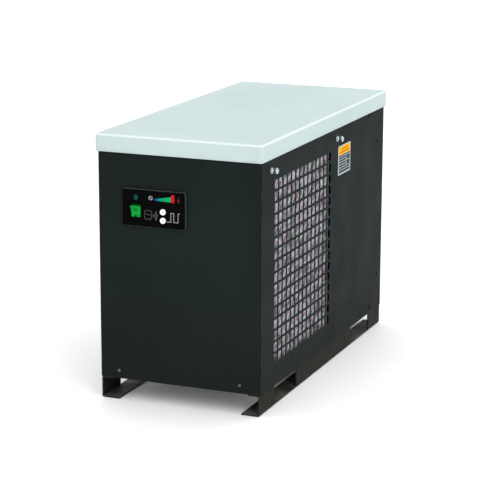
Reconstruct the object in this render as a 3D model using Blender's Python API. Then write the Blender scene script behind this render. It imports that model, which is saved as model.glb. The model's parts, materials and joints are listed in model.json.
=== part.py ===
"""Refrigerated compressed-air dryer: a sheet-metal case on two fork skids.

Lengths are in metres and +Z is up. The control panel faces -Y and the condenser grille faces +X.
Every piece is modelled in the case's own frame, whose origin is on the floor under the middle of
the case. One parent empty then moves the whole assembly, so that the world origin lies under the
middle of the assembly's bounding box, whose sides the knobs, screws and air ports push outwards.
"""
import bmesh
import bpy
from math import asin, cos, pi, radians, sin, sqrt, tau
from mathutils import Matrix, Vector

# --- Driving dimensions -------------------------------------------------------------------------
CASE_WIDTH = 0.342        # over the two side panels
CASE_LENGTH = 0.740       # over the front and rear panels
HEIGHT = 0.536            # floor to the top of the cover
SKID_HEIGHT = 0.044       # floor to the underside of the base deck
COVER_DEPTH = 0.036       # height of the cover's skirt
COVER_OVERHANG = 0.004    # cover beyond the case, on each side

SHEET = 0.0015            # panels, cover and shroud
HEAVY_SHEET = 0.003       # skids
DECK_SHEET = 0.002        # base deck, rails and brackets
GAP = 0.0003              # between two touching pieces
CUT = 0.001               # how far a cutter reaches past the face that it opens

HALF_W = CASE_WIDTH / 2
HALF_L = CASE_LENGTH / 2
SKID_FACE = HALF_W - SHEET - GAP          # outer face of the skids and of the panels' returns
DECK_INSET = 0.0008       # clears the bends of the end panels
DECK_HALF_W = SKID_FACE - SHEET - DECK_INSET
DECK_HALF_L = HALF_L - SHEET - DECK_INSET
DECK_TOP = SKID_HEIGHT + DECK_SHEET
DECK_FLANGE = 0.020
PANEL_TOP = 0.5325
SIDE_PANEL_BOTTOM = 0.043
FRONT_RETURN = 0.020      # depth of the front panel's side returns
REAR_RETURN = 0.045       # depth of the rear panel's side returns
CORNER_CLEARANCE = 0.0035  # side panels stop just behind the bends of the end panels

FOOT_FLANGE = 0.038
TOP_FLANGE = 0.025
FORK_SLOT_CENTRE = 0.2275
FORK_SLOT_WIDTH = 0.125
FORK_SLOT_CUT = 0.0045                    # depth of the slots' cutter inside the skid's face
SKID_BEND = 0.004
SKID_BOLT_Y = 0.110
SKID_BOLT_RADIUS = 0.0055

PANEL_BEND = 0.003
END_FLANGE = (0.0008, 0.016)              # top flanges of the end panels, in from their faces
END_FLANGE_INSET = 0.006
RAIL_BOTTOM = 0.464
RAIL_LEDGE = 0.022
RAIL_CLEARANCE = 0.0005
BRACE_Y = 0.075
BRACE_HALF_WIDTH = 0.012
BRACE_DEPTH = 0.018
COVER_CORNER = 0.006
COVER_EDGE = 0.004

GRILLE_PITCH = 0.0232
GRILLE_HOLE = 0.0180
GRILLE_COLUMNS = 14
GRILLE_ROWS = 16
GRILLE_CENTRE = (-0.1380, 0.2720)         # Y, Z
LOUVRE_COLUMNS = 3
LOUVRE_ROWS = 15
LOUVRE_WIDTH = 0.090
LOUVRE_HEIGHT = 0.008
LOUVRE_PITCH = (0.108, 0.0235)            # Y, Z

FASCIA_CENTRE = (-0.0492, 0.3955)         # X, Z
FASCIA_SIZE = (0.1332, 0.0722)
FASCIA_CORNER = 0.003
FASCIA_DEPTH = 0.0065
FASCIA_FRONT = -(HALF_L + GAP + FASCIA_DEPTH)
HOUSING_SIZE = (0.120, 0.061)
HOUSING_DEPTH = 0.065
HOUSING_CLEARANCE = 0.0005
BOARD_Y = -HALF_L + 0.040
BOARD_THICKNESS = 0.0016
ROCKER_CENTRE = (-0.0870, 0.3903)
ROCKER_SIZE = (0.0236, 0.0266)
ROCKER_FRAME = {"bore": 0.0004, "sleeve": 0.0015, "hole": 0.0018, "lip": 0.0030}   # beyond the cap
ROCKER_DEPTH = 0.026
ROCKER_AXIS_DEPTH = 0.0070                # behind the fascia's face
ROCKER_TILT = 10.0                        # degrees, each way from level
ROCKER_PIN = 0.0012                       # radius
KNOB_X = -0.0281
KNOB_Z = {"upper_timer_knob": 0.3918, "lower_timer_knob": 0.3749}
KNOB_RADIUS = 0.0059
KNOB_LENGTH = 0.0040
KNOB_EDGE = 0.0008
KNOB_SLOT = (0.0007, 0.0010)              # half width, depth
POT_HALF = 0.006
KNOB_SHAFT = 0.0025                       # radius
KNOB_SHAFT_REACH = 0.030
SHAFT_CLEARANCE = 0.0004
LENS_CENTRE = (-0.0861, 0.4165)
LENS_HALF = (0.0045, 0.0062)
GAUGE_CENTRE = (-0.0268, 0.4188)
GAUGE_SIZE = (0.047, 0.019)
GAUGE_DEPTH = 0.0020
GAUGE_RISE = 0.0004

THUMB_SCREW_Z = 0.4775
THUMB_SCREW_Y = {"thumb_screw_front": -0.3175, "thumb_screw_rear": 0.0560}
THUMB_HEAD_RADIUS = 0.0062
THUMB_HOLE = {"panel": 0.0036, "rail": 0.0033}
THUMB_REACH = 0.0135                      # head's end beyond the panel
LABEL_CENTRE = (0.1020, 0.4280)           # Y, Z
LABEL_SIZE = (0.077, 0.062)
LABEL_THICKNESS = 0.0004
SIDE_SCREWS = ((0.266, 0.495), (0.328, 0.428), (0.340, 0.122), (0.293, 0.056))   # Y, Z
FRONT_SCREWS = {"front_screw_left": -0.1300, "front_screw_right": 0.1280}
FRONT_SCREW_Z = 0.0600
SCREW_SHANK = 0.0020

COIL_X = (0.118, 0.162)
COIL_Y = (-0.3200, 0.0235)
COIL_Z = (0.075, 0.465)
COIL_BENDS = 7
TUBE_SHEET_LIP = 0.004
TUBE_SHEET = 0.0015
TUBE_SHEET_FRONT = 0.003                  # tube sheets beyond the fins
COIL_TUBE_RADIUS = 0.0048
COIL_OVERLAP = 0.0010
FAN_AXIS = ((COIL_Y[0] + COIL_Y[1]) / 2, (COIL_Z[0] + COIL_Z[1]) / 2)   # Y, Z
FAN_RADIUS = 0.126
RING_RADIUS = 0.131
SHROUD_BACK = 0.070                       # X of the shroud's rear plate
THROAT_DEPTH = 0.036
FAN_BLADES = 5
FAN_HUB_X = (0.0800, 0.0980)
MOTOR_X = (0.000, 0.0665)
SHAFT_RADIUS = 0.004
BRACKET_HUB_RADIUS = 0.034
BRACKET_BORE_RADIUS = 0.0105
BRACKET_ARM = (0.155, 0.009)              # reach, half width

COMPRESSOR_CENTRE = (-0.020, 0.120)
COMPRESSOR_HALF = (0.082, 0.076)
COMPRESSOR_Z = (0.0705, 0.305)
CAPACITOR_CENTRE = (-0.125, -0.010)
FOOT_SPACING = (0.150, 0.120)
FOOT_MARGIN = 0.016
BASE_Z = (0.0665, 0.0700)
BASE_CORNER = 0.012
GROMMET_HOLE = 0.0090
TERMINAL_Z = 0.210
TERMINAL_HALF = (0.028, 0.034)
TERMINAL_DEPTH = 0.024
TERMINAL_CORNER = 0.006
EXCHANGER_LOW = (0.000, 0.225, 0.125)
EXCHANGER_HIGH = (0.150, 0.318, 0.492)
EXCHANGER_EDGE = 0.008
EXCHANGER_CORNER = 0.014
EXCHANGER_STAND_INSET = 0.012
PORT_X = {"outlet_port": 0.038, "inlet_port": 0.112}
PORT_Z = 0.430
PORT_REACH = 0.0235                       # ports' ends beyond the rear panel
PORT_CORNERS = 0.030                      # radius over the hexagon's corners
PORT_BARREL = 0.0215                      # radius
PORT_INSIDE = 0.016                       # barrel behind the panel's face
PORT_BORE = 0.0150                        # radius
PORT_BORE_BOTTOM = 0.0135                 # behind the panel's face
PORT_CHAMFER = 0.0015
AIR_PIPE_RADIUS = 0.0140
REAR_HOLES = {"port": 0.0225, "drain": 0.0075, "gland": 0.0105}   # radii
SEPARATOR_CENTRE = (-0.078, 0.285)
SEPARATOR_RADIUS = 0.043
SEPARATOR_Z = (0.135, 0.330)
SEPARATOR_NIPPLE = 0.016
SEPARATOR_PIPE_RADIUS = 0.0100
SEPARATOR_INLET_Z = 0.250
VALVE_HALF = 0.016
VALVE_HEIGHT = 0.034
DRAIN_FITTING_INSIDE = 0.022
DRAIN_PORT = (-0.120, 0.090)              # X, Z of the fitting in the rear panel
GLAND_CENTRE = (-0.115, 0.415)            # X, Z
DRIER_CENTRE = (-0.140, 0.120)
DRIER_Z = (0.125, 0.245)
DRIER_RADIUS = 0.0155
DRIER_STUB_RADIUS = 0.0045
DISCHARGE_Z = 0.452
LIQUID_Z = 0.088
CAPILLARY_TURNS = 2
CAPILLARY_COIL_RADIUS = 0.018
HOT_GAS_VALVE = (0.058, 0.190, 0.372)
HOT_GAS_ARM = 0.020

# The box around the whole assembly runs from the knobs to the ports and from the cover's left
# edge to the thumb screws' heads.
BOX_X = (-(HALF_W + COVER_OVERHANG), HALF_W + THUMB_REACH)
BOX_Y = (FASCIA_FRONT - GAP - KNOB_LENGTH, HALF_L + PORT_REACH)
ASSEMBLY_SHIFT = Vector((-sum(BOX_X) / 2, -sum(BOX_Y) / 2, 0.0))

# name: (base colour, roughness, metallic)
PALETTE = {
    "charcoal paint": ((0.032, 0.036, 0.036), 0.55, 0.0),
    "pale paint": ((0.66, 0.76, 0.77), 0.35, 0.0),
    "black plastic": ((0.008, 0.008, 0.009), 0.45, 0.0),
    "green plastic": ((0.01, 0.50, 0.11), 0.25, 0.0),
    "white plastic": ((0.80, 0.80, 0.78), 0.40, 0.0),
    "teal plastic": ((0.02, 0.38, 0.30), 0.20, 0.0),
    "smoked plastic": ((0.02, 0.03, 0.03), 0.10, 0.0),
    "circuit board": ((0.02, 0.16, 0.06), 0.40, 0.0),
    "chrome": ((0.78, 0.79, 0.80), 0.12, 1.0),
    "label": ((0.80, 0.42, 0.06), 0.45, 0.0),
    "aluminium": ((0.70, 0.71, 0.73), 0.35, 1.0),
    "galvanised steel": ((0.45, 0.47, 0.49), 0.40, 1.0),
    "black enamel": ((0.015, 0.015, 0.017), 0.30, 0.0),
    "rubber": ((0.02, 0.02, 0.02), 0.85, 0.0),
    "foam": ((0.025, 0.025, 0.027), 0.95, 0.0),
    "copper": ((0.72, 0.34, 0.20), 0.28, 1.0),
    "brass": ((0.70, 0.52, 0.22), 0.30, 1.0),
    "grey plastic": ((0.30, 0.31, 0.32), 0.50, 0.0),
}


# --- Modelling helpers --------------------------------------------------------------------------
def clear_scene():
    for obj in list(bpy.data.objects):
        bpy.data.objects.remove(obj)


def make_material(name, finish):
    colour, roughness, metallic = PALETTE[finish]
    material = bpy.data.materials.new(name)
    material.use_nodes = True
    shader = material.node_tree.nodes["Principled BSDF"]
    shader.inputs["Base Color"].default_value = (*colour, 1.0)
    shader.inputs["Roughness"].default_value = roughness
    shader.inputs["Metallic"].default_value = metallic
    material.diffuse_color = (*colour, 1.0)
    return material


def add_object(name, bm, finish, parent, smooth_angle=None, pivot=None):
    """Turn a bmesh into a named object, with its origin at pivot if one is given."""
    bmesh.ops.recalc_face_normals(bm, faces=bm.faces)
    mesh = bpy.data.meshes.new(name)
    bm.to_mesh(mesh)
    bm.free()
    obj = bpy.data.objects.new(name, mesh)
    bpy.context.collection.objects.link(obj)
    obj.parent = parent
    mesh.materials.append(make_material(name, finish))
    if pivot is not None:
        mesh.transform(Matrix.Translation(-Vector(pivot)))
        obj.location = pivot
    if smooth_angle is not None:
        mesh.shade_smooth()
        mesh.set_sharp_from_angle(angle=radians(smooth_angle))
    return obj


def combine(obj, operation, pieces):
    """Apply one EXACT Boolean for each bmesh in pieces, given in the case's frame."""
    pivot = Vector(obj.location)
    for piece in pieces:
        bmesh.ops.recalc_face_normals(piece, faces=piece.faces)
        mesh = bpy.data.meshes.new("operand")
        piece.to_mesh(mesh)
        piece.free()
        mesh.transform(Matrix.Translation(-pivot))
        operand = bpy.data.objects.new("operand", mesh)
        bpy.context.collection.objects.link(operand)
        operand.parent = obj.parent
        operand.location = pivot
        bpy.context.view_layer.update()
        modifier = obj.modifiers.new("combine", "BOOLEAN")
        modifier.operation = operation
        modifier.solver = "EXACT"
        modifier.object = operand
        graph = bpy.context.evaluated_depsgraph_get()
        result = bpy.data.meshes.new_from_object(obj.evaluated_get(graph))
        obj.modifiers.remove(modifier)
        obj.data = result
        result.name = obj.name
        bpy.data.objects.remove(operand)
    return obj


def add_box(bm, low, high):
    matrix = Matrix.Translation((Vector(low) + Vector(high)) / 2)
    size = Vector(high) - Vector(low)
    bmesh.ops.create_cube(bm, size=1.0, matrix=matrix @ Matrix.Diagonal((*size, 1.0)))
    return bm


def box(low, high):
    return add_box(bmesh.new(), low, high)


AXIS_TURN = {
    "X": Matrix(((0, 0, 1, 0), (1, 0, 0, 0), (0, 1, 0, 0), (0, 0, 0, 1))),
    "Y": Matrix(((1, 0, 0, 0), (0, 0, 1, 0), (0, -1, 0, 0), (0, 0, 0, 1))),
    "Z": Matrix.Identity(4),
}


def placed(bm, axis, origin):
    """Turn a bmesh made along +Z so that it runs along axis, and move it to origin."""
    bmesh.ops.transform(bm, matrix=Matrix.Translation(origin) @ AXIS_TURN[axis], verts=bm.verts)
    return bm


def prism(outline, axis, start, end):
    """Extrude a closed outline. It holds (y, z) along X, (x, z) along Y and (x, y) along Z."""
    spread = {
        "X": lambda u, v, w: (w, u, v),
        "Y": lambda u, v, w: (u, w, v),
        "Z": lambda u, v, w: (u, v, w),
    }[axis]
    bm = bmesh.new()
    first = [bm.verts.new(spread(u, v, start)) for u, v in outline]
    last = [bm.verts.new(spread(u, v, end)) for u, v in outline]
    bm.faces.new(first)
    bm.faces.new(list(reversed(last)))
    for i in range(len(outline)):
        j = (i + 1) % len(outline)
        bm.faces.new((first[i], last[i], last[j], first[j]))
    return bm


def lathe(profile, segments, stretch=(1.0, 1.0)):
    """Turn a profile of (radius, height) about +Z. A radius of 0 closes the shape at a pole."""
    bm = bmesh.new()
    rings = []
    for radius, height in profile:
        if radius == 0:
            rings.append([bm.verts.new((0, 0, height))])
            continue
        ring = []
        for i in range(segments):
            angle = tau * i / segments
            x = stretch[0] * radius * cos(angle)
            y = stretch[1] * radius * sin(angle)
            ring.append(bm.verts.new((x, y, height)))
        rings.append(ring)
    for lower, upper in zip(rings, rings[1:]):
        for i in range(segments):
            j = (i + 1) % segments
            if len(lower) == 1:
                bm.faces.new((lower[0], upper[j], upper[i]))
            elif len(upper) == 1:
                bm.faces.new((lower[i], lower[j], upper[0]))
            else:
                bm.faces.new((lower[i], lower[j], upper[j], upper[i]))
    for ring, is_first in ((rings[0], True), (rings[-1], False)):
        if len(ring) > 1:
            bm.faces.new(list(reversed(ring)) if is_first else ring)
    return bm


def cylinder(radius, axis, start, length, segments=24):
    return placed(lathe(((radius, 0.0), (radius, length)), segments), axis, start)


def arc(centre, radius, start, end, steps):
    """Points on an arc, from start to end in degrees, both ends included."""
    points = []
    for i in range(steps + 1):
        angle = radians(start + (end - start) * i / steps)
        points.append((centre[0] + radius * cos(angle), centre[1] + radius * sin(angle)))
    return points


def rounded_rectangle(centre, half, radius, steps=3):
    points = []
    for i, (sx, sy) in enumerate(((1, 1), (-1, 1), (-1, -1), (1, -1))):
        corner = (centre[0] + sx * (half[0] - radius), centre[1] + sy * (half[1] - radius))
        points += arc(corner, radius, 90 * i, 90 * i + 90, steps)
    return points


def bent_sheet(path, thickness, bend_radius, steps=3):
    """Outline of a sheet whose outer face follows path, which turns left by 90 degrees."""
    points = [Vector(point) for point in path]
    directions = [(b - a).normalized() for a, b in zip(points, points[1:])]
    normals = [Vector((-d.y, d.x)) for d in directions]
    outer = [points[0]]
    inner = [points[0] + normals[0] * thickness]
    for i in range(1, len(points) - 1):
        centre = points[i] + (normals[i - 1] + normals[i]) * bend_radius
        for step in range(steps + 1):
            turn = Matrix.Rotation(radians(90) * step / steps, 2)
            spoke = turn @ (-normals[i - 1])
            outer.append(centre + spoke * bend_radius)
            inner.append(centre + spoke * (bend_radius - thickness))
    outer.append(points[-1])
    inner.append(points[-1] + normals[-1] * thickness)
    return [tuple(point) for point in outer + inner[::-1]]


def smooth_route(points, per_span=6):
    """Catmull-Rom curve through the route's points."""
    knots = [Vector(point) for point in points]
    knots = [2 * knots[0] - knots[1]] + knots + [2 * knots[-1] - knots[-2]]
    route = []
    for i in range(1, len(knots) - 2):
        a, b, c, d = knots[i - 1:i + 3]
        for step in range(per_span):
            t = step / per_span
            route.append(0.5 * (2 * b + (c - a) * t + (2 * a - 5 * b + 4 * c - d) * t ** 2
                                + (3 * b - a - 3 * c + d) * t ** 3))
    route.append(knots[-2])
    return route


def add_tube(name, points, diameter, finish, parent, per_span=6, resolution=2):
    """A solid round tube along a smooth curve through points."""
    route = smooth_route(points, per_span)
    curve = bpy.data.curves.new(name, "CURVE")
    curve.dimensions = "3D"
    curve.bevel_depth = diameter / 2
    curve.bevel_resolution = resolution
    curve.use_fill_caps = True
    spline = curve.splines.new("POLY")
    spline.points.add(len(route) - 1)
    for knot, place in zip(spline.points, route):
        knot.co = (*place, 1.0)
    curve.materials.append(make_material(name, finish))
    obj = bpy.data.objects.new(name, curve)
    bpy.context.collection.objects.link(obj)
    obj.parent = parent
    return obj


def perforated_plate(x_range, y_edges, z_edges, is_hole):
    """A flat plate normal to X on a grid, left open at each cell where is_hole(i, j) is true."""
    bm = bmesh.new()
    layers = []
    for x in x_range:
        layers.append([[bm.verts.new((x, y, z)) for z in z_edges] for y in y_edges])
    near, far = layers
    columns = len(y_edges) - 1
    rows = len(z_edges) - 1

    def solid(i, j):
        return 0 <= i < columns and 0 <= j < rows and not is_hole(i, j)

    for i in range(columns):
        for j in range(rows):
            if not solid(i, j):
                continue
            corners = ((i, j), (i + 1, j), (i + 1, j + 1), (i, j + 1))
            bm.faces.new([near[a][b] for a, b in corners])
            bm.faces.new([far[a][b] for a, b in reversed(corners)])
            neighbours = ((i, j - 1), (i + 1, j), (i, j + 1), (i - 1, j))
            for k, beside in enumerate(neighbours):
                if solid(*beside):
                    continue
                (a, b), (c, d) = corners[k], corners[(k + 1) % 4]
                bm.faces.new((near[a][b], far[a][b], far[c][d], near[c][d]))
    return bm


def hole_edges(low, high, first, pitch, size, count):
    """Grid lines of a plate from low to high with count holes of one size, evenly pitched."""
    edges = [low]
    for i in range(count):
        edges += [first + i * pitch, first + i * pitch + size]
    return edges + [high]


def sheet_tray(low, high, wall, open_side):
    """A thin-walled box without the wall on open_side, such as "+X"."""
    axis = "XYZ".index(open_side[1])
    inner_low = Vector(low) + Vector((wall, wall, wall))
    inner_high = Vector(high) - Vector((wall, wall, wall))
    margin = 0.001
    if open_side[0] == "+":
        inner_high[axis] = high[axis] + margin
    else:
        inner_low[axis] = low[axis] - margin
    return box(low, high), box(inner_low, inner_high)


# --- Base ---------------------------------------------------------------------------------------
def build_skid(name, side, parent):
    """A C-shaped skid, with its foot flange turned inwards and two fork slots through its wall."""
    top = SKID_HEIGHT - GAP
    path = ((SKID_FACE - FOOT_FLANGE, 0.0), (SKID_FACE, 0.0), (SKID_FACE, top),
            (SKID_FACE - TOP_FLANGE, top))
    outline = [(side * x, z) for x, z in bent_sheet(path, HEAVY_SHEET, SKID_BEND)]
    end = HALF_L - DECK_SHEET
    skid = add_object(name, prism(outline, "Y", -end, end), "charcoal paint", parent)
    wall = sorted((side * (SKID_FACE - FORK_SLOT_CUT), side * (SKID_FACE + CUT)))
    cuts = []
    for centre in (-FORK_SLOT_CENTRE, FORK_SLOT_CENTRE):
        low = (wall[0], centre - FORK_SLOT_WIDTH / 2, HEAVY_SHEET)
        high = (wall[1], centre + FORK_SLOT_WIDTH / 2, top - HEAVY_SHEET)
        cuts.append(box(low, high))
    for y in (-SKID_BOLT_Y, SKID_BOLT_Y):
        place = (side * (SKID_FACE - FOOT_FLANGE / 2), y, -CUT)
        cuts.append(cylinder(SKID_BOLT_RADIUS, "Z", place, HEAVY_SHEET + 2 * CUT, 16))
    combine(skid, "DIFFERENCE", cuts)


def build_base_deck(parent):
    """The floor of the case: a shallow tray whose flanges take the panels' screws."""
    low = (-DECK_HALF_W, -DECK_HALF_L, SKID_HEIGHT)
    high = (DECK_HALF_W, DECK_HALF_L, DECK_TOP + DECK_FLANGE)
    outer, inner = sheet_tray(low, high, DECK_SHEET, "+Z")
    deck = add_object("base_deck", outer, "charcoal paint", parent)
    cuts = [inner]
    for x in FRONT_SCREWS.values():
        place = (x, -DECK_HALF_L - CUT, FRONT_SCREW_Z)
        cuts.append(cylinder(SCREW_SHANK + GAP, "Y", place, DECK_SHEET + 2 * CUT, 12))
    combine(deck, "DIFFERENCE", cuts)


# --- Case ---------------------------------------------------------------------------------------
def end_panel(name, side, depth, parent):
    """A front (side -1) or rear (side +1) panel with its returns and a flange along its top."""
    face = side * HALF_L
    path = ((-SKID_FACE, face - side * depth), (-SKID_FACE, face), (SKID_FACE, face),
            (SKID_FACE, face - side * depth))
    if side > 0:
        path = path[::-1]
    outline = bent_sheet(path, SHEET, PANEL_BEND, 4)
    panel = add_object(name, prism(outline, "Z", SKID_HEIGHT, PANEL_TOP), "charcoal paint",
                       parent, smooth_angle=40)
    flange_half = SKID_FACE - END_FLANGE_INSET
    front, back = (face - side * inset for inset in END_FLANGE)
    flange = box((-flange_half, min(front, back), PANEL_TOP - SHEET),
                 (flange_half, max(front, back), PANEL_TOP))
    return combine(panel, "UNION", [flange])


def build_front_panel(parent):
    panel = end_panel("front_panel", -1, FRONT_RETURN, parent)
    half_x = HOUSING_SIZE[0] / 2 + HOUSING_CLEARANCE
    half_z = HOUSING_SIZE[1] / 2 + HOUSING_CLEARANCE
    front, back = -HALF_L - CUT, -HALF_L + 2 * SHEET
    low = (FASCIA_CENTRE[0] - half_x, front, FASCIA_CENTRE[1] - half_z)
    high = (FASCIA_CENTRE[0] + half_x, back, FASCIA_CENTRE[1] + half_z)
    cuts = [box(low, high)]
    for x in FRONT_SCREWS.values():
        place = (x, front, FRONT_SCREW_Z)
        cuts.append(cylinder(SCREW_SHANK + GAP, "Y", place, back - front, 12))
    combine(panel, "DIFFERENCE", cuts)


def build_rear_panel(parent):
    panel = end_panel("rear_panel", 1, REAR_RETURN, parent)
    openings = [(x, PORT_Z, REAR_HOLES["port"]) for x in PORT_X.values()]
    openings.append((*DRAIN_PORT, REAR_HOLES["drain"]))
    openings.append((*GLAND_CENTRE, REAR_HOLES["gland"]))
    start, length = HALF_L - SHEET - CUT, SHEET + 2 * CUT
    cuts = []
    for x, z, radius in openings:
        cuts.append(cylinder(radius, "Y", (x, start, z), length, 24))
    combine(panel, "DIFFERENCE", cuts)


def side_screw_holes(x_start, length, radius, places):
    return [cylinder(radius, "X", (x_start, y, z), length, 12) for y, z in places]


def thumb_screw_places():
    return [(y, THUMB_SCREW_Z) for y in THUMB_SCREW_Y.values()]


def build_right_side_panel(parent):
    """The intake side: a flat panel with a field of square holes in front of the condenser."""
    end = HALF_L - CORNER_CLEARANCE
    margin = (GRILLE_PITCH - GRILLE_HOLE) / 2
    first_y = GRILLE_CENTRE[0] - GRILLE_COLUMNS * GRILLE_PITCH / 2 + margin
    first_z = GRILLE_CENTRE[1] - GRILLE_ROWS * GRILLE_PITCH / 2 + margin
    y_edges = hole_edges(-end, end, first_y, GRILLE_PITCH, GRILLE_HOLE, GRILLE_COLUMNS)
    z_edges = hole_edges(SIDE_PANEL_BOTTOM, PANEL_TOP, first_z, GRILLE_PITCH, GRILLE_HOLE,
                         GRILLE_ROWS)
    bm = perforated_plate((HALF_W - SHEET, HALF_W), y_edges, z_edges,
                          lambda i, j: i % 2 == 1 and j % 2 == 1)
    panel = add_object("right_side_panel", bm, "charcoal paint", parent)
    start, length = HALF_W - SHEET - CUT, SHEET + 2 * CUT
    cuts = side_screw_holes(start, length, THUMB_HOLE["panel"], thumb_screw_places())
    cuts += side_screw_holes(start, length, SCREW_SHANK + GAP, SIDE_SCREWS)
    combine(panel, "DIFFERENCE", cuts)


def build_left_side_panel(parent):
    """The exhaust side: a flat panel with rows of louvre slots behind the fan."""
    end = HALF_L - CORNER_CLEARANCE
    first_y = FAN_AXIS[0] - (LOUVRE_COLUMNS - 1) / 2 * LOUVRE_PITCH[0] - LOUVRE_WIDTH / 2
    first_z = FAN_AXIS[1] - (LOUVRE_ROWS - 1) / 2 * LOUVRE_PITCH[1] - LOUVRE_HEIGHT / 2
    y_edges = hole_edges(-end, end, first_y, LOUVRE_PITCH[0], LOUVRE_WIDTH, LOUVRE_COLUMNS)
    z_edges = hole_edges(SIDE_PANEL_BOTTOM, PANEL_TOP, first_z, LOUVRE_PITCH[1], LOUVRE_HEIGHT,
                         LOUVRE_ROWS)
    bm = perforated_plate((-HALF_W, -HALF_W + SHEET), y_edges, z_edges,
                          lambda i, j: i % 2 == 1 and j % 2 == 1)
    add_object("left_side_panel", bm, "charcoal paint", parent)


def build_top_cover(parent):
    """A pressed lid with rounded edges. Its skirt hangs over the top of the case."""
    half = (HALF_W + COVER_OVERHANG, HALF_L + COVER_OVERHANG)
    skirt_bottom = HEIGHT - COVER_DEPTH

    def rings(inset, top, edge_radius, corner_radius):
        levels = [(0.0, skirt_bottom)]
        for x, z in arc((edge_radius, top - edge_radius), edge_radius, 180, 90, 3):
            levels.append((x, z))
        for step_in, z in levels:
            size = (half[0] - inset - step_in, half[1] - inset - step_in)
            radius = max(corner_radius - step_in, 0.001)
            yield [(x, y, z) for x, y in rounded_rectangle((0, 0), size, radius)]

    bm = bmesh.new()
    shells = []
    for inset, top, edge_radius, corner_radius in (
            (0.0, HEIGHT, COVER_EDGE, COVER_CORNER),
            (SHEET, HEIGHT - SHEET, COVER_EDGE - SHEET, COVER_CORNER - SHEET)):
        shell = [[bm.verts.new(point) for point in ring]
                 for ring in rings(inset, top, edge_radius, corner_radius)]
        shells.append(shell)
        bm.faces.new(shell[-1])
        for lower, upper in zip(shell, shell[1:]):
            bridge(bm, lower, upper)
    bridge(bm, shells[0][0], shells[1][0])
    add_object("top_cover", bm, "pale paint", parent, smooth_angle=50, pivot=(0, 0, HEIGHT))


def bridge(bm, first, second):
    for i in range(len(first)):
        j = (i + 1) % len(first)
        bm.faces.new((first[i], first[j], second[j], second[i]))


def build_top_rail(name, side, parent):
    """An angle along the top of a side. It carries the cover and takes the side panel's screws."""
    top = HEIGHT - SHEET - GAP
    path = ((SKID_FACE, RAIL_BOTTOM), (SKID_FACE, top), (SKID_FACE - RAIL_LEDGE, top))
    outline = [(side * x, z) for x, z in bent_sheet(path, DECK_SHEET, PANEL_BEND)]
    front = -HALF_L + FRONT_RETURN + RAIL_CLEARANCE
    rear = HALF_L - REAR_RETURN - RAIL_CLEARANCE
    rail = add_object(name, prism(outline, "Y", front, rear), "galvanised steel", parent)
    if side > 0:
        start, length = SKID_FACE - DECK_SHEET - CUT, DECK_SHEET + 2 * CUT
        cuts = side_screw_holes(start, length, THUMB_HOLE["rail"], thumb_screw_places())
        cuts += side_screw_holes(start, length, SCREW_SHANK + GAP, SIDE_SCREWS[:1])
        combine(rail, "DIFFERENCE", cuts)


def build_cross_brace(parent):
    """A channel that joins the two rails under the middle of the cover."""
    inside = SKID_FACE - DECK_SHEET - 2 * RAIL_CLEARANCE
    top = HEIGHT - SHEET - GAP - DECK_SHEET - GAP
    front, rear = BRACE_Y - BRACE_HALF_WIDTH, BRACE_Y + BRACE_HALF_WIDTH
    path = ((rear, top - BRACE_DEPTH), (rear, top), (front, top), (front, top - BRACE_DEPTH))
    outline = bent_sheet(path, DECK_SHEET, PANEL_BEND)
    add_object("top_cross_brace", prism(outline, "X", -inside, inside), "galvanised steel", parent)


# --- Controls -----------------------------------------------------------------------------------
def build_control_housing(parent):
    front = -HALF_L
    low = (FASCIA_CENTRE[0] - HOUSING_SIZE[0] / 2, front, FASCIA_CENTRE[1] - HOUSING_SIZE[1] / 2)
    high = (FASCIA_CENTRE[0] + HOUSING_SIZE[0] / 2, front + HOUSING_DEPTH,
            FASCIA_CENTRE[1] + HOUSING_SIZE[1] / 2)
    outer, inner = sheet_tray(low, high, DECK_SHEET, "-Y")
    housing = add_object("control_housing", outer, "grey plastic", parent)
    combine(housing, "DIFFERENCE", [inner])


def build_controller_board(parent):
    """The timer and switching board. It stands clear of the rocker and the knobs' shafts."""
    y = BOARD_Y
    half_x = HOUSING_SIZE[0] / 2 - DECK_SHEET - CUT
    half_z = HOUSING_SIZE[1] / 2 - DECK_SHEET - CUT
    cx, cz = FASCIA_CENTRE
    board = add_object("controller_board", box((cx - half_x, y, cz - half_z),
                                               (cx + half_x, y + BOARD_THICKNESS, cz + half_z)),
                       "circuit board", parent)
    parts = (((-0.050, 0.0010, -0.020), (-0.022, 0.0200, 0.008)),
             ((-0.012, 0.0010, -0.022), (0.006, 0.0165, 0.004)),
             ((0.016, 0.0010, -0.020), (0.048, 0.0120, -0.006)),
             ((0.020, 0.0010, 0.004), (0.040, 0.0180, 0.022)))
    blocks = []
    for low, high in parts:
        shift = Vector((cx, y, cz))
        blocks.append(box(Vector(low) + shift, Vector(high) + shift))
    pot_front = y - 0.022
    socket_depth = 0.006
    for z in KNOB_Z.values():
        blocks.append(box((KNOB_X - POT_HALF, pot_front, z - POT_HALF),
                          (KNOB_X + POT_HALF, y + BOARD_THICKNESS / 3, z + POT_HALF)))
    combine(board, "UNION", blocks)
    sockets = [cylinder(KNOB_SHAFT + SHAFT_CLEARANCE, "Y", (KNOB_X, pot_front - CUT, z),
                        socket_depth + CUT, 12) for z in KNOB_Z.values()]
    combine(board, "DIFFERENCE", sockets)


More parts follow.
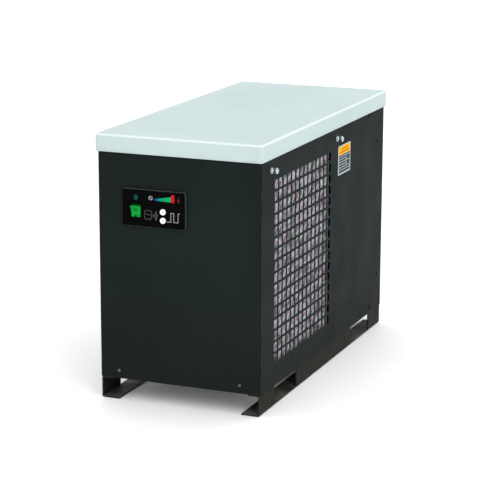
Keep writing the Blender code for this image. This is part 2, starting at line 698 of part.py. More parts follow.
def build_control_fascia(parent):
    """The raised black panel around the switch, the timer knobs, the lens and the gauge."""
    back = -HALF_L - GAP
    half = (FASCIA_SIZE[0] / 2, FASCIA_SIZE[1] / 2)
    outline = rounded_rectangle(FASCIA_CENTRE, half, FASCIA_CORNER)
    fascia = add_object("control_fascia", prism(outline, "Y", FASCIA_FRONT, back),
                        "black plastic", parent)
    depth = (FASCIA_FRONT - CUT, back + CUT)
    length = depth[1] - depth[0]
    rocker = rocker_half("hole")
    cuts = [prism(rounded_rectangle(ROCKER_CENTRE, rocker, 0.001, 2), "Y", *depth)]
    shaft_hole = KNOB_SHAFT + 2 * GAP
    for z in KNOB_Z.values():
        cuts.append(cylinder(shaft_hole, "Y", (KNOB_X, depth[0], z), length, 12))
    lens = lathe(((1.0, 0.0), (1.0, length)), 24,
                 (LENS_HALF[0] + GAP, LENS_HALF[1] + GAP))
    cuts.append(placed(lens, "Y", (LENS_CENTRE[0], depth[0], LENS_CENTRE[1])))
    gauge = (GAUGE_SIZE[0] / 2 + GAP, GAUGE_SIZE[1] / 2 + GAP)
    recess = rounded_rectangle(GAUGE_CENTRE, gauge, 0.0015, 2)
    cuts.append(prism(recess, "Y", depth[0], FASCIA_FRONT + GAUGE_DEPTH + GAP))
    combine(fascia, "DIFFERENCE", cuts)


def rocker_half(part):
    """Half the width and height of one part of the switch's frame."""
    return tuple(size / 2 + ROCKER_FRAME[part] for size in ROCKER_SIZE)


def build_rocker_frame(parent):
    """The switch body: a square sleeve with a thin lip on the fascia and a closed back."""
    lip, sleeve, bore = (rocker_half(part) for part in ("lip", "sleeve", "bore"))
    lip_front = FASCIA_FRONT - 0.0015
    back = FASCIA_FRONT + ROCKER_DEPTH
    rim = prism(rounded_rectangle(ROCKER_CENTRE, lip, 0.002), "Y", lip_front, FASCIA_FRONT - GAP)
    frame = add_object("rocker_frame", rim, "black plastic", parent)
    body = prism(rounded_rectangle(ROCKER_CENTRE, sleeve, 0.0008, 2), "Y",
                 (lip_front + FASCIA_FRONT) / 2, back)
    combine(frame, "UNION", [body])
    hollow = prism(rounded_rectangle(ROCKER_CENTRE, bore, 0.0006, 1), "Y",
                   lip_front - CUT, back - DECK_SHEET)
    pin_hole = rocker_pin(ROCKER_PIN + SHAFT_CLEARANCE, sleeve[0] + CUT)
    combine(frame, "DIFFERENCE", [hollow, pin_hole])


def rocker_pin(radius, half_length):
    """The rocker's pivot pin, or the hole for it, along X through the rocker's pivot."""
    start = rocker_pivot() - Vector((half_length, 0, 0))
    return cylinder(radius, "X", start, 2 * half_length, 12)


def rocker_pivot():
    return Vector((ROCKER_CENTRE[0], FASCIA_FRONT + ROCKER_AXIS_DEPTH, ROCKER_CENTRE[1]))


def build_power_rocker(parent):
    """A rocker with two flat lands that meet in a shallow valley, its lower half pressed in."""
    tip = Vector((-0.0095, ROCKER_SIZE[1] / 2 - 0.0023))
    valley = -0.0072
    skirt = 0.0040
    half = ROCKER_SIZE[1] / 2 - 0.0006
    outline = [(tip.x, tip.y), (-0.0060, half - 0.0004), (0.0, half), (skirt, half - 0.0010),
               (skirt, -half + 0.0010), (0.0, -half), (-0.0060, -half + 0.0004),
               (tip.x, -tip.y), (valley, 0.0)]
    pivot = rocker_pivot()
    bm = prism(outline, "X", -ROCKER_SIZE[0] / 2, ROCKER_SIZE[0] / 2)
    turn = Matrix.Rotation(radians(ROCKER_TILT), 4, "X")
    bmesh.ops.transform(bm, matrix=Matrix.Translation(pivot) @ turn, verts=bm.verts)
    rocker = add_object("power_rocker", bm, "green plastic", parent, pivot=pivot)
    combine(rocker, "UNION", [rocker_pin(ROCKER_PIN, ROCKER_SIZE[0] / 2 + 0.0013)])


def build_timer_knob(name, parent):
    """A small trimmer knob with a screwdriver slot across its face and a shaft behind it."""
    back = FASCIA_FRONT - GAP
    place = (KNOB_X, back, KNOB_Z[name])
    profile = ((KNOB_SHAFT, -KNOB_SHAFT_REACH), (KNOB_SHAFT, 0.0), (KNOB_RADIUS, 0.0),
               (KNOB_RADIUS, KNOB_LENGTH - KNOB_EDGE), (KNOB_RADIUS - KNOB_EDGE, KNOB_LENGTH))
    bm = lathe(profile, 20)
    bmesh.ops.transform(bm, matrix=Matrix.Diagonal((1, 1, -1, 1)), verts=bm.verts)
    knob = add_object(name, placed(bm, "Y", place), "white plastic", parent, smooth_angle=40,
                      pivot=place)
    face = back - KNOB_LENGTH
    half_width, depth = KNOB_SLOT
    slot = box((KNOB_X - half_width, face - CUT, KNOB_Z[name] - half_width),
               (KNOB_X + half_width, face + depth, KNOB_Z[name] + KNOB_RADIUS + CUT))
    combine(knob, "DIFFERENCE", [slot])


def build_status_lens(parent):
    """An oval pilot lens with a low dome, set through the fascia."""
    dome = [(sqrt(1 - h * h), 0.0006 + 0.0022 * h) for h in (0.0, 0.35, 0.65, 0.88)]
    profile = [(1.0, -0.0060)] + dome + [(0.0, 0.0028)]
    bm = lathe(profile, 24, LENS_HALF)
    bmesh.ops.transform(bm, matrix=Matrix.Diagonal((1, 1, -1, 1)), verts=bm.verts)
    placed(bm, "Y", (LENS_CENTRE[0], FASCIA_FRONT, LENS_CENTRE[1]))
    add_object("status_lens", bm, "teal plastic", parent, smooth_angle=40)


def build_gauge_window(parent):
    half = (GAUGE_SIZE[0] / 2, GAUGE_SIZE[1] / 2)
    outline = rounded_rectangle(GAUGE_CENTRE, half, 0.0012, 2)
    window = prism(outline, "Y", FASCIA_FRONT - GAUGE_RISE, FASCIA_FRONT + GAUGE_DEPTH)
    add_object("gauge_window", window, "smoked plastic", parent)


# --- Fasteners and label ------------------------------------------------------------------------
def build_thumb_screw(name, parent):
    """A captive quarter-turn screw: collar, neck and knurled head outside, shank inside."""
    y = THUMB_SCREW_Y[name]
    radius = THUMB_HEAD_RADIUS
    end = THUMB_REACH
    profile = ((0.0, -0.0140), (0.0020, -0.0140), (0.0030, -0.0125), (0.0030, GAP),
               (radius, GAP), (radius, 0.0022), (0.0034, 0.0030), (0.0034, 0.0058),
               (radius - 0.0008, 0.0064), (radius, 0.0074), (radius, end - 0.0010),
               (radius - 0.0010, end), (0.0, end))
    bm = placed(lathe(profile, 14), "X", (HALF_W, y, THUMB_SCREW_Z))
    add_object(name, bm, "chrome", parent, smooth_angle=35, pivot=(HALF_W, y, THUMB_SCREW_Z))


def build_front_screw(name, parent):
    """A pan-head screw through the front panel into the deck's flange."""
    profile = ((0.0, -0.0100), (SCREW_SHANK, -0.0085), (SCREW_SHANK, GAP), (0.0042, GAP),
               (0.0042, 0.0012), (0.0030, 0.0024), (0.0, 0.0027))
    bm = lathe(profile, 12)
    bmesh.ops.transform(bm, matrix=Matrix.Diagonal((1, 1, -1, 1)), verts=bm.verts)
    placed(bm, "Y", (FRONT_SCREWS[name], -HALF_L, FRONT_SCREW_Z))
    add_object(name, bm, "black enamel", parent, smooth_angle=40)


def build_label(parent):
    half = (LABEL_SIZE[0] / 2, LABEL_SIZE[1] / 2)
    outline = rounded_rectangle(LABEL_CENTRE, half, 0.002, 2)
    add_object("instruction_label", prism(outline, "X", HALF_W + GAP, HALF_W + GAP + LABEL_THICKNESS),
               "label", parent)


# --- Condenser and fan --------------------------------------------------------------------------
def half_ring(centre, major, minor, direction, sides=6, steps=4):
    """Half a torus in a YZ plane. It bulges along Y and joins two tubes one above the other."""
    bm = bmesh.new()
    rings = []
    for step in range(steps + 1):
        angle = -pi / 2 + pi * step / steps
        out = Vector((0, direction * cos(angle), sin(angle)))
        ring = []
        for k in range(sides):
            around = tau * k / sides
            spoke = out * (major + minor * cos(around)) + Vector((minor * sin(around), 0, 0))
            ring.append(bm.verts.new(Vector(centre) + spoke))
        rings.append(ring)
    for first, second in zip(rings, rings[1:]):
        bridge(bm, first, second)
    bm.faces.new(rings[0])
    bm.faces.new(rings[-1])
    return bm


def build_condenser_coil(parent):
    """The finned block with its tube sheets and the return bends of its tubes."""
    coil = add_object("condenser_coil", box((COIL_X[0], COIL_Y[0], COIL_Z[0]),
                                            (COIL_X[1], COIL_Y[1], COIL_Z[1])),
                      "aluminium", parent)
    pieces = []
    for y, outward in ((COIL_Y[0], -1), (COIL_Y[1], 1)):
        inside = y - outward * COIL_OVERLAP
        outside = y + outward * TUBE_SHEET
        low = (COIL_X[0], min(inside, outside), COIL_Z[0] - TUBE_SHEET_LIP)
        high = (COIL_X[1] + TUBE_SHEET_FRONT, max(inside, outside), COIL_Z[1] + TUBE_SHEET_LIP)
        pieces.append(box(low, high))
    pitch = (COIL_Z[1] - COIL_Z[0]) / (2 * COIL_BENDS + 1)
    for i in range(COIL_BENDS):
        middle_x = sum(COIL_X) / 2
        low = COIL_Z[0] + pitch * (2 * i + 1)
        for y, outward, z in ((COIL_Y[0], -1, low), (COIL_Y[1], 1, low + pitch)):
            root = (middle_x, y + outward * COIL_OVERLAP, z)
            pieces.append(half_ring(root, pitch / 2, COIL_TUBE_RADIUS, outward))
    combine(coil, "UNION", pieces)


def build_condenser_stand(parent):
    top = COIL_Z[0] - TUBE_SHEET_LIP - GAP
    build_saddle("condenser_stand", (SHROUD_BACK + 0.004, COIL_X[1]), COIL_Y, top, parent)


def build_fan_shroud(parent):
    """A tray behind the coil, with a round throat that the fan turns in."""
    low = (SHROUD_BACK, COIL_Y[0], COIL_Z[0])
    high = (COIL_X[0] - GAP, COIL_Y[1], COIL_Z[1])
    outer, inner = sheet_tray(low, high, SHEET, "+X")
    shroud = add_object("fan_shroud", outer, "galvanised steel", parent)
    combine(shroud, "DIFFERENCE", [inner])
    throat = (SHROUD_BACK, FAN_AXIS[0], FAN_AXIS[1])
    combine(shroud, "UNION", [cylinder(RING_RADIUS + SHEET, "X", throat, THROAT_DEPTH, 40)])
    bore = (SHROUD_BACK - CUT, FAN_AXIS[0], FAN_AXIS[1])
    length = COIL_X[0] - SHROUD_BACK
    combine(shroud, "DIFFERENCE", [cylinder(RING_RADIUS, "X", bore, length, 40)])


def fan_paddle(angle):
    """One pitched and cambered blade, from inside the hub to the tip, turned to its angle."""
    stations = ((0.024, 0.040, 38), (0.060, 0.062, 30), (0.095, 0.078, 24),
                (FAN_RADIUS - 0.001, 0.084, 20))
    thickness = 0.0020
    camber = 0.004
    bm = bmesh.new()
    rings = []
    for radius, chord, pitch in stations:
        ring = []
        for face, fractions in ((-1, (-0.5, 0.0, 0.5)), (1, (0.5, 0.0, -0.5))):
            for part in fractions:
                along = part * chord
                lift = camber * (1 - 4 * part * part) + face * thickness / 2
                axial = along * sin(radians(pitch)) + lift * cos(radians(pitch))
                sideways = along * cos(radians(pitch)) - lift * sin(radians(pitch))
                turn = asin(sideways / radius) if abs(sideways) < radius else 0.0
                ring.append(bm.verts.new((radius * cos(turn), radius * sin(turn), axial)))
        rings.append(ring)
    for first, second in zip(rings, rings[1:]):
        bridge(bm, first, second)
    bm.faces.new(rings[0])
    bm.faces.new(rings[-1])
    bmesh.ops.transform(bm, matrix=Matrix.Rotation(angle, 4, "Z"), verts=bm.verts)
    return bm


def build_fan_blade(parent):
    middle = sum(FAN_HUB_X) / 2
    centre = (middle, FAN_AXIS[0], FAN_AXIS[1])
    half = (FAN_HUB_X[1] - FAN_HUB_X[0]) / 2
    profile = ((0.0, -half + 0.013), (0.0045, -half + 0.013), (0.0045, -half), (0.028, -half),
               (0.030, -half + 0.002), (0.030, half - 0.003), (0.026, half), (0.0, half))
    hub = placed(lathe(profile, 20), "X", centre)
    fan = add_object("fan_blade", hub, "grey plastic", parent, smooth_angle=40, pivot=centre)
    paddles = [fan_paddle(tau * i / FAN_BLADES) for i in range(FAN_BLADES)]
    combine(fan, "UNION", [placed(paddle, "X", centre) for paddle in paddles])


def build_fan_motor(parent):
    length = MOTOR_X[1] - MOTOR_X[0]
    profile = ((0.0, 0.0), (0.014, 0.0), (0.016, 0.004), (0.036, 0.006), (0.043, 0.012),
               (0.043, length - 0.008), (0.036, length), (0.010, length),
               (0.010, length + 0.004), (SHAFT_RADIUS, length + 0.004),
               (SHAFT_RADIUS, FAN_HUB_X[0] + 0.011 - MOTOR_X[0]),
               (0.0, FAN_HUB_X[0] + 0.011 - MOTOR_X[0]))
    bm = placed(lathe(profile, 20), "X", (MOTOR_X[0], FAN_AXIS[0], FAN_AXIS[1]))
    add_object("fan_motor", bm, "black enamel", parent, smooth_angle=40)


def build_fan_motor_bracket(parent):
    """Four flat arms that carry the motor on the shroud's rear plate."""
    front = SHROUD_BACK - GAP
    back = MOTOR_X[1] + GAP
    y, z = FAN_AXIS
    hub = cylinder(BRACKET_HUB_RADIUS, "X", (back, y, z), front - back, 20)
    bracket = add_object("fan_motor_bracket", hub, "galvanised steel", parent)
    reach, half_width = BRACKET_ARM
    arms = []
    for angle in (45, 135):
        bar = box((-reach, -half_width, back), (reach, half_width, front))
        bmesh.ops.transform(bar, matrix=Matrix.Rotation(radians(angle), 4, "Z"), verts=bar.verts)
        arms.append(placed(bar, "X", (0.0, y, z)))
    combine(bracket, "UNION", arms)
    bore = cylinder(BRACKET_BORE_RADIUS, "X", (back - CUT, y, z), front - back + 2 * CUT, 16)
    combine(bracket, "DIFFERENCE", [bore])


# --- Compressor ---------------------------------------------------------------------------------
def build_compressor_shell(parent):
    """A welded hermetic can, oval in plan, with a rolled seam at mid-height."""
    low, high = COMPRESSOR_Z
    seam = 0.165
    profile = [(0.0, low)]
    for x, z in arc((0.64, 0.0), 0.36, -80, 0, 4):
        profile.append((x, low + 0.045 + 0.125 * z))
    profile += [(1.0, seam - 0.004), (1.05, seam - 0.003), (1.05, seam + 0.003),
                (0.985, seam + 0.005)]
    for x, z in arc((0.60, 0.0), 0.385, 0, 85, 5):
        profile.append((x, high - 0.058 + 0.150 * z))
    profile.append((0.0, high))
    bm = lathe(profile, 24, COMPRESSOR_HALF)
    placed(bm, "Z", (*COMPRESSOR_CENTRE, 0.0))
    add_object("compressor_shell", bm, "black enamel", parent, smooth_angle=45)


def foot_places():
    places = []
    for sx, sy in ((-1, -1), (1, -1), (1, 1), (-1, 1)):
        places.append((COMPRESSOR_CENTRE[0] + sx * FOOT_SPACING[0] / 2,
                       COMPRESSOR_CENTRE[1] + sy * FOOT_SPACING[1] / 2))
    return places


def build_compressor_base(parent):
    half = (FOOT_SPACING[0] / 2 + FOOT_MARGIN, FOOT_SPACING[1] / 2 + FOOT_MARGIN)
    outline = rounded_rectangle(COMPRESSOR_CENTRE, half, BASE_CORNER)
    plate = add_object("compressor_base", prism(outline, "Z", *BASE_Z), "black enamel", parent)
    start, length = BASE_Z[0] - CUT, BASE_Z[1] - BASE_Z[0] + 2 * CUT
    cuts = [cylinder(GROMMET_HOLE, "Z", (x, y, start), length, 12) for x, y in foot_places()]
    combine(plate, "DIFFERENCE", cuts)


def build_grommets(parent):
    """Rubber mounts between the compressor's base and the deck, each with a neck in the base."""
    bottom = DECK_TOP + GAP
    profile = ((0.0, bottom), (0.0125, bottom), (0.0125, 0.0585), (0.0110, 0.0605),
               (0.0120, 0.0662), (0.0087, 0.0662), (0.0087, 0.0703), (0.0120, 0.0703),
               (0.0105, 0.0770), (0.0, 0.0770))
    for i, (x, y) in enumerate(foot_places()):
        bm = placed(lathe(profile, 12), "Z", (x, y, 0.0))
        add_object(f"compressor_grommet_{i + 1}", bm, "rubber", parent, smooth_angle=40)


def build_terminal_cover(parent):
    face = COMPRESSOR_CENTRE[1] - COMPRESSOR_HALF[1] - 0.0005
    centre = (COMPRESSOR_CENTRE[0], TERMINAL_Z)
    outline = rounded_rectangle(centre, TERMINAL_HALF, TERMINAL_CORNER)
    cover = prism(outline, "Y", face - TERMINAL_DEPTH, face)
    add_object("compressor_terminal_cover", cover, "black plastic", parent)


def build_start_capacitor(parent):
    bottom = DECK_TOP + GAP
    profile = ((0.0, bottom), (0.021, bottom), (0.0225, bottom + 0.002), (0.0225, 0.140),
               (0.0205, 0.142), (0.0205, 0.146), (0.0, 0.146))
    bm = placed(lathe(profile, 18), "Z", (*CAPACITOR_CENTRE, 0.0))
    add_object("start_capacitor", bm, "black plastic", parent, smooth_angle=40)


# --- Heat exchanger, separator and drain --------------------------------------------------------
def build_heat_exchanger(parent):
    """The air and refrigerant exchanger in its foam jacket."""
    low, high = EXCHANGER_LOW, EXCHANGER_HIGH
    centre = ((low[0] + high[0]) / 2, (low[1] + high[1]) / 2)
    half = ((high[0] - low[0]) / 2, (high[1] - low[1]) / 2)
    edge = EXCHANGER_EDGE
    bm = bmesh.new()
    rings = []
    for inset, z in ((edge, low[2]), (0.0, low[2] + edge), (0.0, high[2] - edge), (edge, high[2])):
        size = (half[0] - inset, half[1] - inset)
        outline = rounded_rectangle(centre, size, EXCHANGER_CORNER - inset / 2)
        rings.append([bm.verts.new((x, y, z)) for x, y in outline])
    for lower, upper in zip(rings, rings[1:]):
        bridge(bm, lower, upper)
    bm.faces.new(rings[0])
    bm.faces.new(rings[-1])
    add_object("heat_exchanger", bm, "foam", parent, smooth_angle=50)


def build_saddle(name, x_range, y_range, top, parent):
    """A sheet folded down along two sides, which holds something heavy above the deck."""
    left, right = x_range
    bottom = DECK_TOP + GAP
    path = ((right, bottom), (right, top), (left, top), (left, bottom))
    outline = bent_sheet(path, DECK_SHEET, SKID_BEND)
    add_object(name, prism(outline, "Y", *y_range), "galvanised steel", parent)


def build_exchanger_stand(parent):
    inset = EXCHANGER_STAND_INSET
    build_saddle("exchanger_stand", (EXCHANGER_LOW[0] + inset, EXCHANGER_HIGH[0] - inset),
                 (EXCHANGER_LOW[1] + inset, EXCHANGER_HIGH[1] - inset),
                 EXCHANGER_LOW[2] - GAP, parent)


def build_separator_bowl(parent):
    """The moisture separator: a domed can with a drain nipple under it."""
    low, high = SEPARATOR_Z
    radius = SEPARATOR_RADIUS
    bottom = low - SEPARATOR_NIPPLE
    profile = [(0.0, bottom), (0.0065, bottom), (0.0065, low - 0.002)]
    profile += arc((radius - 0.024, low + 0.024), 0.024, -75, 0, 4)
    profile += [(radius, high - 0.030), (radius + 0.003, high - 0.028),
                (radius + 0.003, high - 0.022), (radius, high - 0.020)]
    profile += arc((radius - 0.018, high - 0.018), 0.018, 0, 80, 4)
    profile.append((0.0, high))
    bm = placed(lathe(profile, 20), "Z", (*SEPARATOR_CENTRE, 0.0))
    add_object("separator_bowl", bm, "aluminium", parent, smooth_angle=40)


def build_separator_pipes(parent):
    face = EXCHANGER_LOW[0] - GAP
    side = SEPARATOR_CENTRE[0] + SEPARATOR_RADIUS + 0.0010
    y = SEPARATOR_CENTRE[1]
    start = (side, y, SEPARATOR_INLET_Z)
    pipe = cylinder(SEPARATOR_PIPE_RADIUS, "X", start, face - side, 12)
    add_object("separator_inlet_pipe", pipe, "copper", parent, smooth_angle=40)
    top = SEPARATOR_Z[1] + GAP
    x = SEPARATOR_CENTRE[0]
    route = ((x, y, top), (x, y, top + 0.030), (x + 0.008, y, top + 0.052),
             (x + 0.030, y, top + 0.060), (face - 0.020, y, top + 0.060), (face, y, top + 0.060))
    add_tube("separator_outlet_pipe", route, 2 * SEPARATOR_PIPE_RADIUS, "copper", parent, 3)


def build_drain(parent):
    """A timed solenoid drain under the separator, and the tube to its fitting in the rear."""
    x, y = SEPARATOR_CENTRE
    top = SEPARATOR_Z[0] - SEPARATOR_NIPPLE - GAP
    block = box((x - VALVE_HALF, y - VALVE_HALF, top - VALVE_HEIGHT),
                (x + VALVE_HALF, y + VALVE_HALF, top))
    valve = add_object("drain_valve_body", block, "brass", parent)
    outlet = (x, y + 0.010, top - 0.017)
    combine(valve, "UNION", [cylinder(0.0080, "Y", outlet, 0.016, 16)])
    side = x - VALVE_HALF - GAP
    low = (side - 0.034, y - 0.018, top - 0.040)
    high = (side, y + 0.018, top - 0.002)
    add_object("drain_solenoid_coil", box(low, high), "black plastic", parent)
    inner_end = HALF_L - DRAIN_FITTING_INSIDE
    start = y + 0.0265
    drain_x, drain_z = DRAIN_PORT
    route = ((x, start, top - 0.017), (x, start + 0.004, top - 0.017),
             (x - 0.004, start + 0.010, top - 0.018), (drain_x + 0.002, inner_end - 0.011, drain_z),
             (drain_x, inner_end - 0.005, drain_z), (drain_x, inner_end - 0.0008, drain_z))
    add_tube("drain_tube", route, 0.008, "rubber", parent, per_span=4)
    inside = -DRAIN_FITTING_INSIDE
    profile = ((0.0, inside), (0.0070, inside), (0.0070, GAP), (0.0105, GAP),
               (0.0105, 0.0070), (0.0050, 0.0070), (0.0050, 0.0110), (0.0062, 0.0130),
               (0.0045, 0.0170), (0.0062, 0.0190), (0.0045, 0.0230), (0.0025, 0.0230),
               (0.0025, 0.0090), (0.0, 0.0090))
    bm = lathe(profile, 14)
    placed(bm, "Y", (drain_x, HALF_L, drain_z))
    add_object("drain_outlet_fitting", bm, "brass", parent, smooth_angle=35)


# --- Air and power connections ------------------------------------------------------------------
def build_port(name, parent):
    """A hexagonal bulkhead socket with a blind threaded bore, clamped in the rear panel."""
    hexagon = lathe(((PORT_CORNERS, GAP), (PORT_CORNERS, PORT_REACH)), 6)
    place = (PORT_X[name], HALF_L, PORT_Z)
    port = add_object(name, placed(hexagon, "Y", place), "brass", parent, smooth_angle=35)
    start = (place[0], HALF_L - PORT_INSIDE, PORT_Z)
    barrel = cylinder(PORT_BARREL, "Y", start, PORT_INSIDE + PORT_REACH / 2, 24)
    combine(port, "UNION", [barrel])
    mouth = PORT_REACH + CUT
    hollow = lathe(((PORT_BORE, -PORT_BORE_BOTTOM), (PORT_BORE, PORT_REACH - PORT_CHAMFER),
                    (PORT_BORE + PORT_CHAMFER + CUT, mouth)), 24)
    combine(port, "DIFFERENCE", [placed(hollow, "Y", place)])


def build_air_pipe(name, port_name, parent):
    start = EXCHANGER_HIGH[1] + GAP
    length = HALF_L - PORT_INSIDE - GAP - start
    bm = cylinder(AIR_PIPE_RADIUS, "Y", (PORT_X[port_name], start, PORT_Z), length, 20)
    add_object(name, bm, "copper", parent, smooth_angle=40)


def build_power_gland(parent):
    """A nylon cable gland with a hexagon, a dome nut and an inner lock nut."""
    profile = ((0.0, -0.016), (0.0095, -0.016), (0.0095, GAP), (0.0135, GAP), (0.0135, 0.0060),
               (0.0120, 0.0070), (0.0120, 0.0150), (0.0085, 0.0215), (0.0050, 0.0215),
               (0.0050, 0.0120), (0.0, 0.0120))
    bm = placed(lathe(profile, 18), "Y", (GLAND_CENTRE[0], HALF_L, GLAND_CENTRE[1]))
    add_object("power_inlet_gland", bm, "black plastic", parent, smooth_angle=35)


# --- Refrigerant circuit ------------------------------------------------------------------------
def build_filter_drier(parent):
    low, high = DRIER_Z
    radius = DRIER_RADIUS
    stub = DRIER_STUB_RADIUS
    profile = ((0.0, low), (stub, low), (stub, low + 0.010), (radius, low + 0.024),
               (radius, high - 0.024), (stub, high - 0.010), (stub, high), (0.0, high))
    bm = placed(lathe(profile, 16), "Z", (*DRIER_CENTRE, 0.0))
    add_object("filter_drier", bm, "copper", parent, smooth_angle=40)


def build_refrigerant_lines(parent):
    coil_x = COIL_X[0] + 0.009
    coil_end = COIL_Y[1] + 0.0015 + GAP
    cx, cy = COMPRESSOR_CENTRE
    shell_x = cx + COMPRESSOR_HALF[0] + 0.0010
    face = EXCHANGER_LOW[0] - GAP
    discharge = ((shell_x, cy - 0.004, 0.236), (shell_x + 0.016, cy - 0.004, 0.238),
                 (shell_x + 0.026, cy - 0.010, 0.262), (shell_x + 0.028, cy - 0.020, 0.360),
                 (coil_x - 0.028, cy - 0.040, DISCHARGE_Z - 0.012),
                 (coil_x - 0.004, coil_end + 0.030, DISCHARGE_Z),
                 (coil_x, coil_end + 0.012, DISCHARGE_Z),
                 (coil_x, coil_end + 0.004, DISCHARGE_Z), (coil_x, coil_end, DISCHARGE_Z))
    add_tube("discharge_line", discharge, 0.008, "copper", parent, per_span=3)
    liquid = ((coil_x, coil_end, LIQUID_Z), (coil_x, coil_end + 0.005, LIQUID_Z),
              (coil_x, coil_end + 0.013, LIQUID_Z),
              (coil_x - 0.014, coil_end + 0.020, 0.086), (0.070, 0.034, 0.084),
              (-0.060, 0.026, 0.084), (-0.128, 0.034, 0.078), (-0.140, 0.060, 0.079),
              (DRIER_CENTRE[0], DRIER_CENTRE[1] - 0.010, 0.088),
              (DRIER_CENTRE[0], DRIER_CENTRE[1], 0.108),
              (DRIER_CENTRE[0], DRIER_CENTRE[1], DRIER_Z[0] - GAP))
    add_tube("liquid_line", liquid, 0.0065, "copper", parent, per_span=3)
    top = DRIER_Z[1] + GAP
    capillary = [(*DRIER_CENTRE, top), (*DRIER_CENTRE, top + 0.012)]
    turns = CAPILLARY_TURNS
    radius = CAPILLARY_COIL_RADIUS
    steps = 8 * turns
    for i in range(steps + 1):
        angle = tau * turns * i / steps
        capillary.append((DRIER_CENTRE[0] + 0.004 + radius * sin(angle),
                          DRIER_CENTRE[1] + radius - radius * cos(angle),
                          top + 0.024 + 0.012 * i / steps))
    capillary += [(-0.118, 0.180, top + 0.046), (-0.070, 0.232, top + 0.052),
                  (-0.030, 0.240, top + 0.052), (face, 0.244, top + 0.052)]
    add_tube("capillary_line", capillary, 0.0032, "copper", parent, per_span=2, resolution=1)
    shell_y = cy + COMPRESSOR_HALF[1] + 0.0003
    suction = ((face, 0.246, 0.180), (-0.014, 0.245, 0.181), (-0.025, 0.240, 0.190),
               (cx - 0.007, 0.229, 0.212), (cx - 0.005, 0.219, 0.238), (cx - 0.002, 0.209, 0.254),
               (cx, shell_y + 0.006, 0.258), (cx, shell_y, 0.258))
    add_tube("suction_line", suction, 0.010, "copper", parent, per_span=3)


def build_hot_gas_bypass(parent):
    """The bypass valve on the exchanger's side, and its line from the top of the compressor."""
    cx, cy = COMPRESSOR_CENTRE
    valve = HOT_GAS_VALVE
    profile = ((0.0, -0.020), (0.0100, -0.020), (0.0100, 0.004), (0.0160, 0.006),
               (0.0160, 0.018), (0.0120, 0.022), (0.0, 0.022))
    bm = placed(lathe(profile, 16), "Z", valve)
    body = add_object("hot_gas_valve", bm, "brass", parent, smooth_angle=40)
    z = valve[2] - 0.010
    arm = HOT_GAS_ARM
    stub = EXCHANGER_LOW[1] - GAP - valve[1]
    tail = cylinder(0.0058, "Y", (valve[0], valve[1] - arm, z), arm + stub, 12)
    combine(body, "UNION", [tail])
    front = valve[1] - arm - GAP
    inlet = ((cx + 0.020, cy + 0.020, 0.3060), (cx + 0.021, cy + 0.020, 0.326),
             (cx + 0.032, cy + 0.021, 0.348), (cx + 0.056, cy + 0.024, z - 0.002),
             (valve[0] - 0.002, front - 0.012, z), (valve[0], front - 0.005, z),
             (valve[0], front, z))
    add_tube("hot_gas_inlet_line", inlet, 0.0065, "copper", parent, per_span=3)


def main():
    clear_scene()
    assembly = bpy.data.objects.new("dryer_assembly", None)
    bpy.context.collection.objects.link(assembly)
    assembly.location = ASSEMBLY_SHIFT
    build_skid("left_skid", -1, assembly)
    build_skid("right_skid", 1, assembly)
    build_base_deck(assembly)
    build_front_panel(assembly)
    build_rear_panel(assembly)
    build_right_side_panel(assembly)
    build_left_side_panel(assembly)
    build_top_cover(assembly)
    build_top_rail("left_top_rail", -1, assembly)
    build_top_rail("right_top_rail", 1, assembly)
    build_cross_brace(assembly)
    build_control_housing(assembly)
    build_controller_board(assembly)
    build_control_fascia(assembly)
    build_rocker_frame(assembly)
    build_power_rocker(assembly)
    build_status_lens(assembly)
    build_gauge_window(assembly)
    for name in KNOB_Z:
        build_timer_knob(name, assembly)
    for name in THUMB_SCREW_Y:
        build_thumb_screw(name, assembly)
    for name in FRONT_SCREWS:
        build_front_screw(name, assembly)
    build_label(assembly)
    build_condenser_coil(assembly)
    build_condenser_stand(assembly)
    build_fan_shroud(assembly)
    build_fan_motor_bracket(assembly)
    build_fan_motor(assembly)
    build_fan_blade(assembly)
    build_compressor_shell(assembly)
    build_compressor_base(assembly)
    build_grommets(assembly)
    build_terminal_cover(assembly)
    build_start_capacitor(assembly)
    build_heat_exchanger(assembly)
    build_exchanger_stand(assembly)
    build_separator_bowl(assembly)
    build_separator_pipes(assembly)
    build_drain(assembly)
    for name in PORT_X:
        build_port(name, assembly)
        build_air_pipe(name.replace("port", "pipe"), name, assembly)
    build_power_gland(assembly)
    build_filter_drier(assembly)
    build_refrigerant_lines(assembly)
    build_hot_gas_bypass(assembly)


main()
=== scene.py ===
"""Looks of the refrigerated air dryer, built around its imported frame.

The frame gives every size and place. Lengths are in metres and +Z is up. The control panel faces
-Y and the condenser grille faces +X. Flat CAD nodes are kept, with rounded edges and procedural
paint, and finer pieces take the place of the cover, the grille, the fins, the knobs and the screws.
"""
import json
from math import cos, pi, radians, sin, sqrt, tau

import bmesh
import bpy
from mathutils import Matrix, Vector, noise


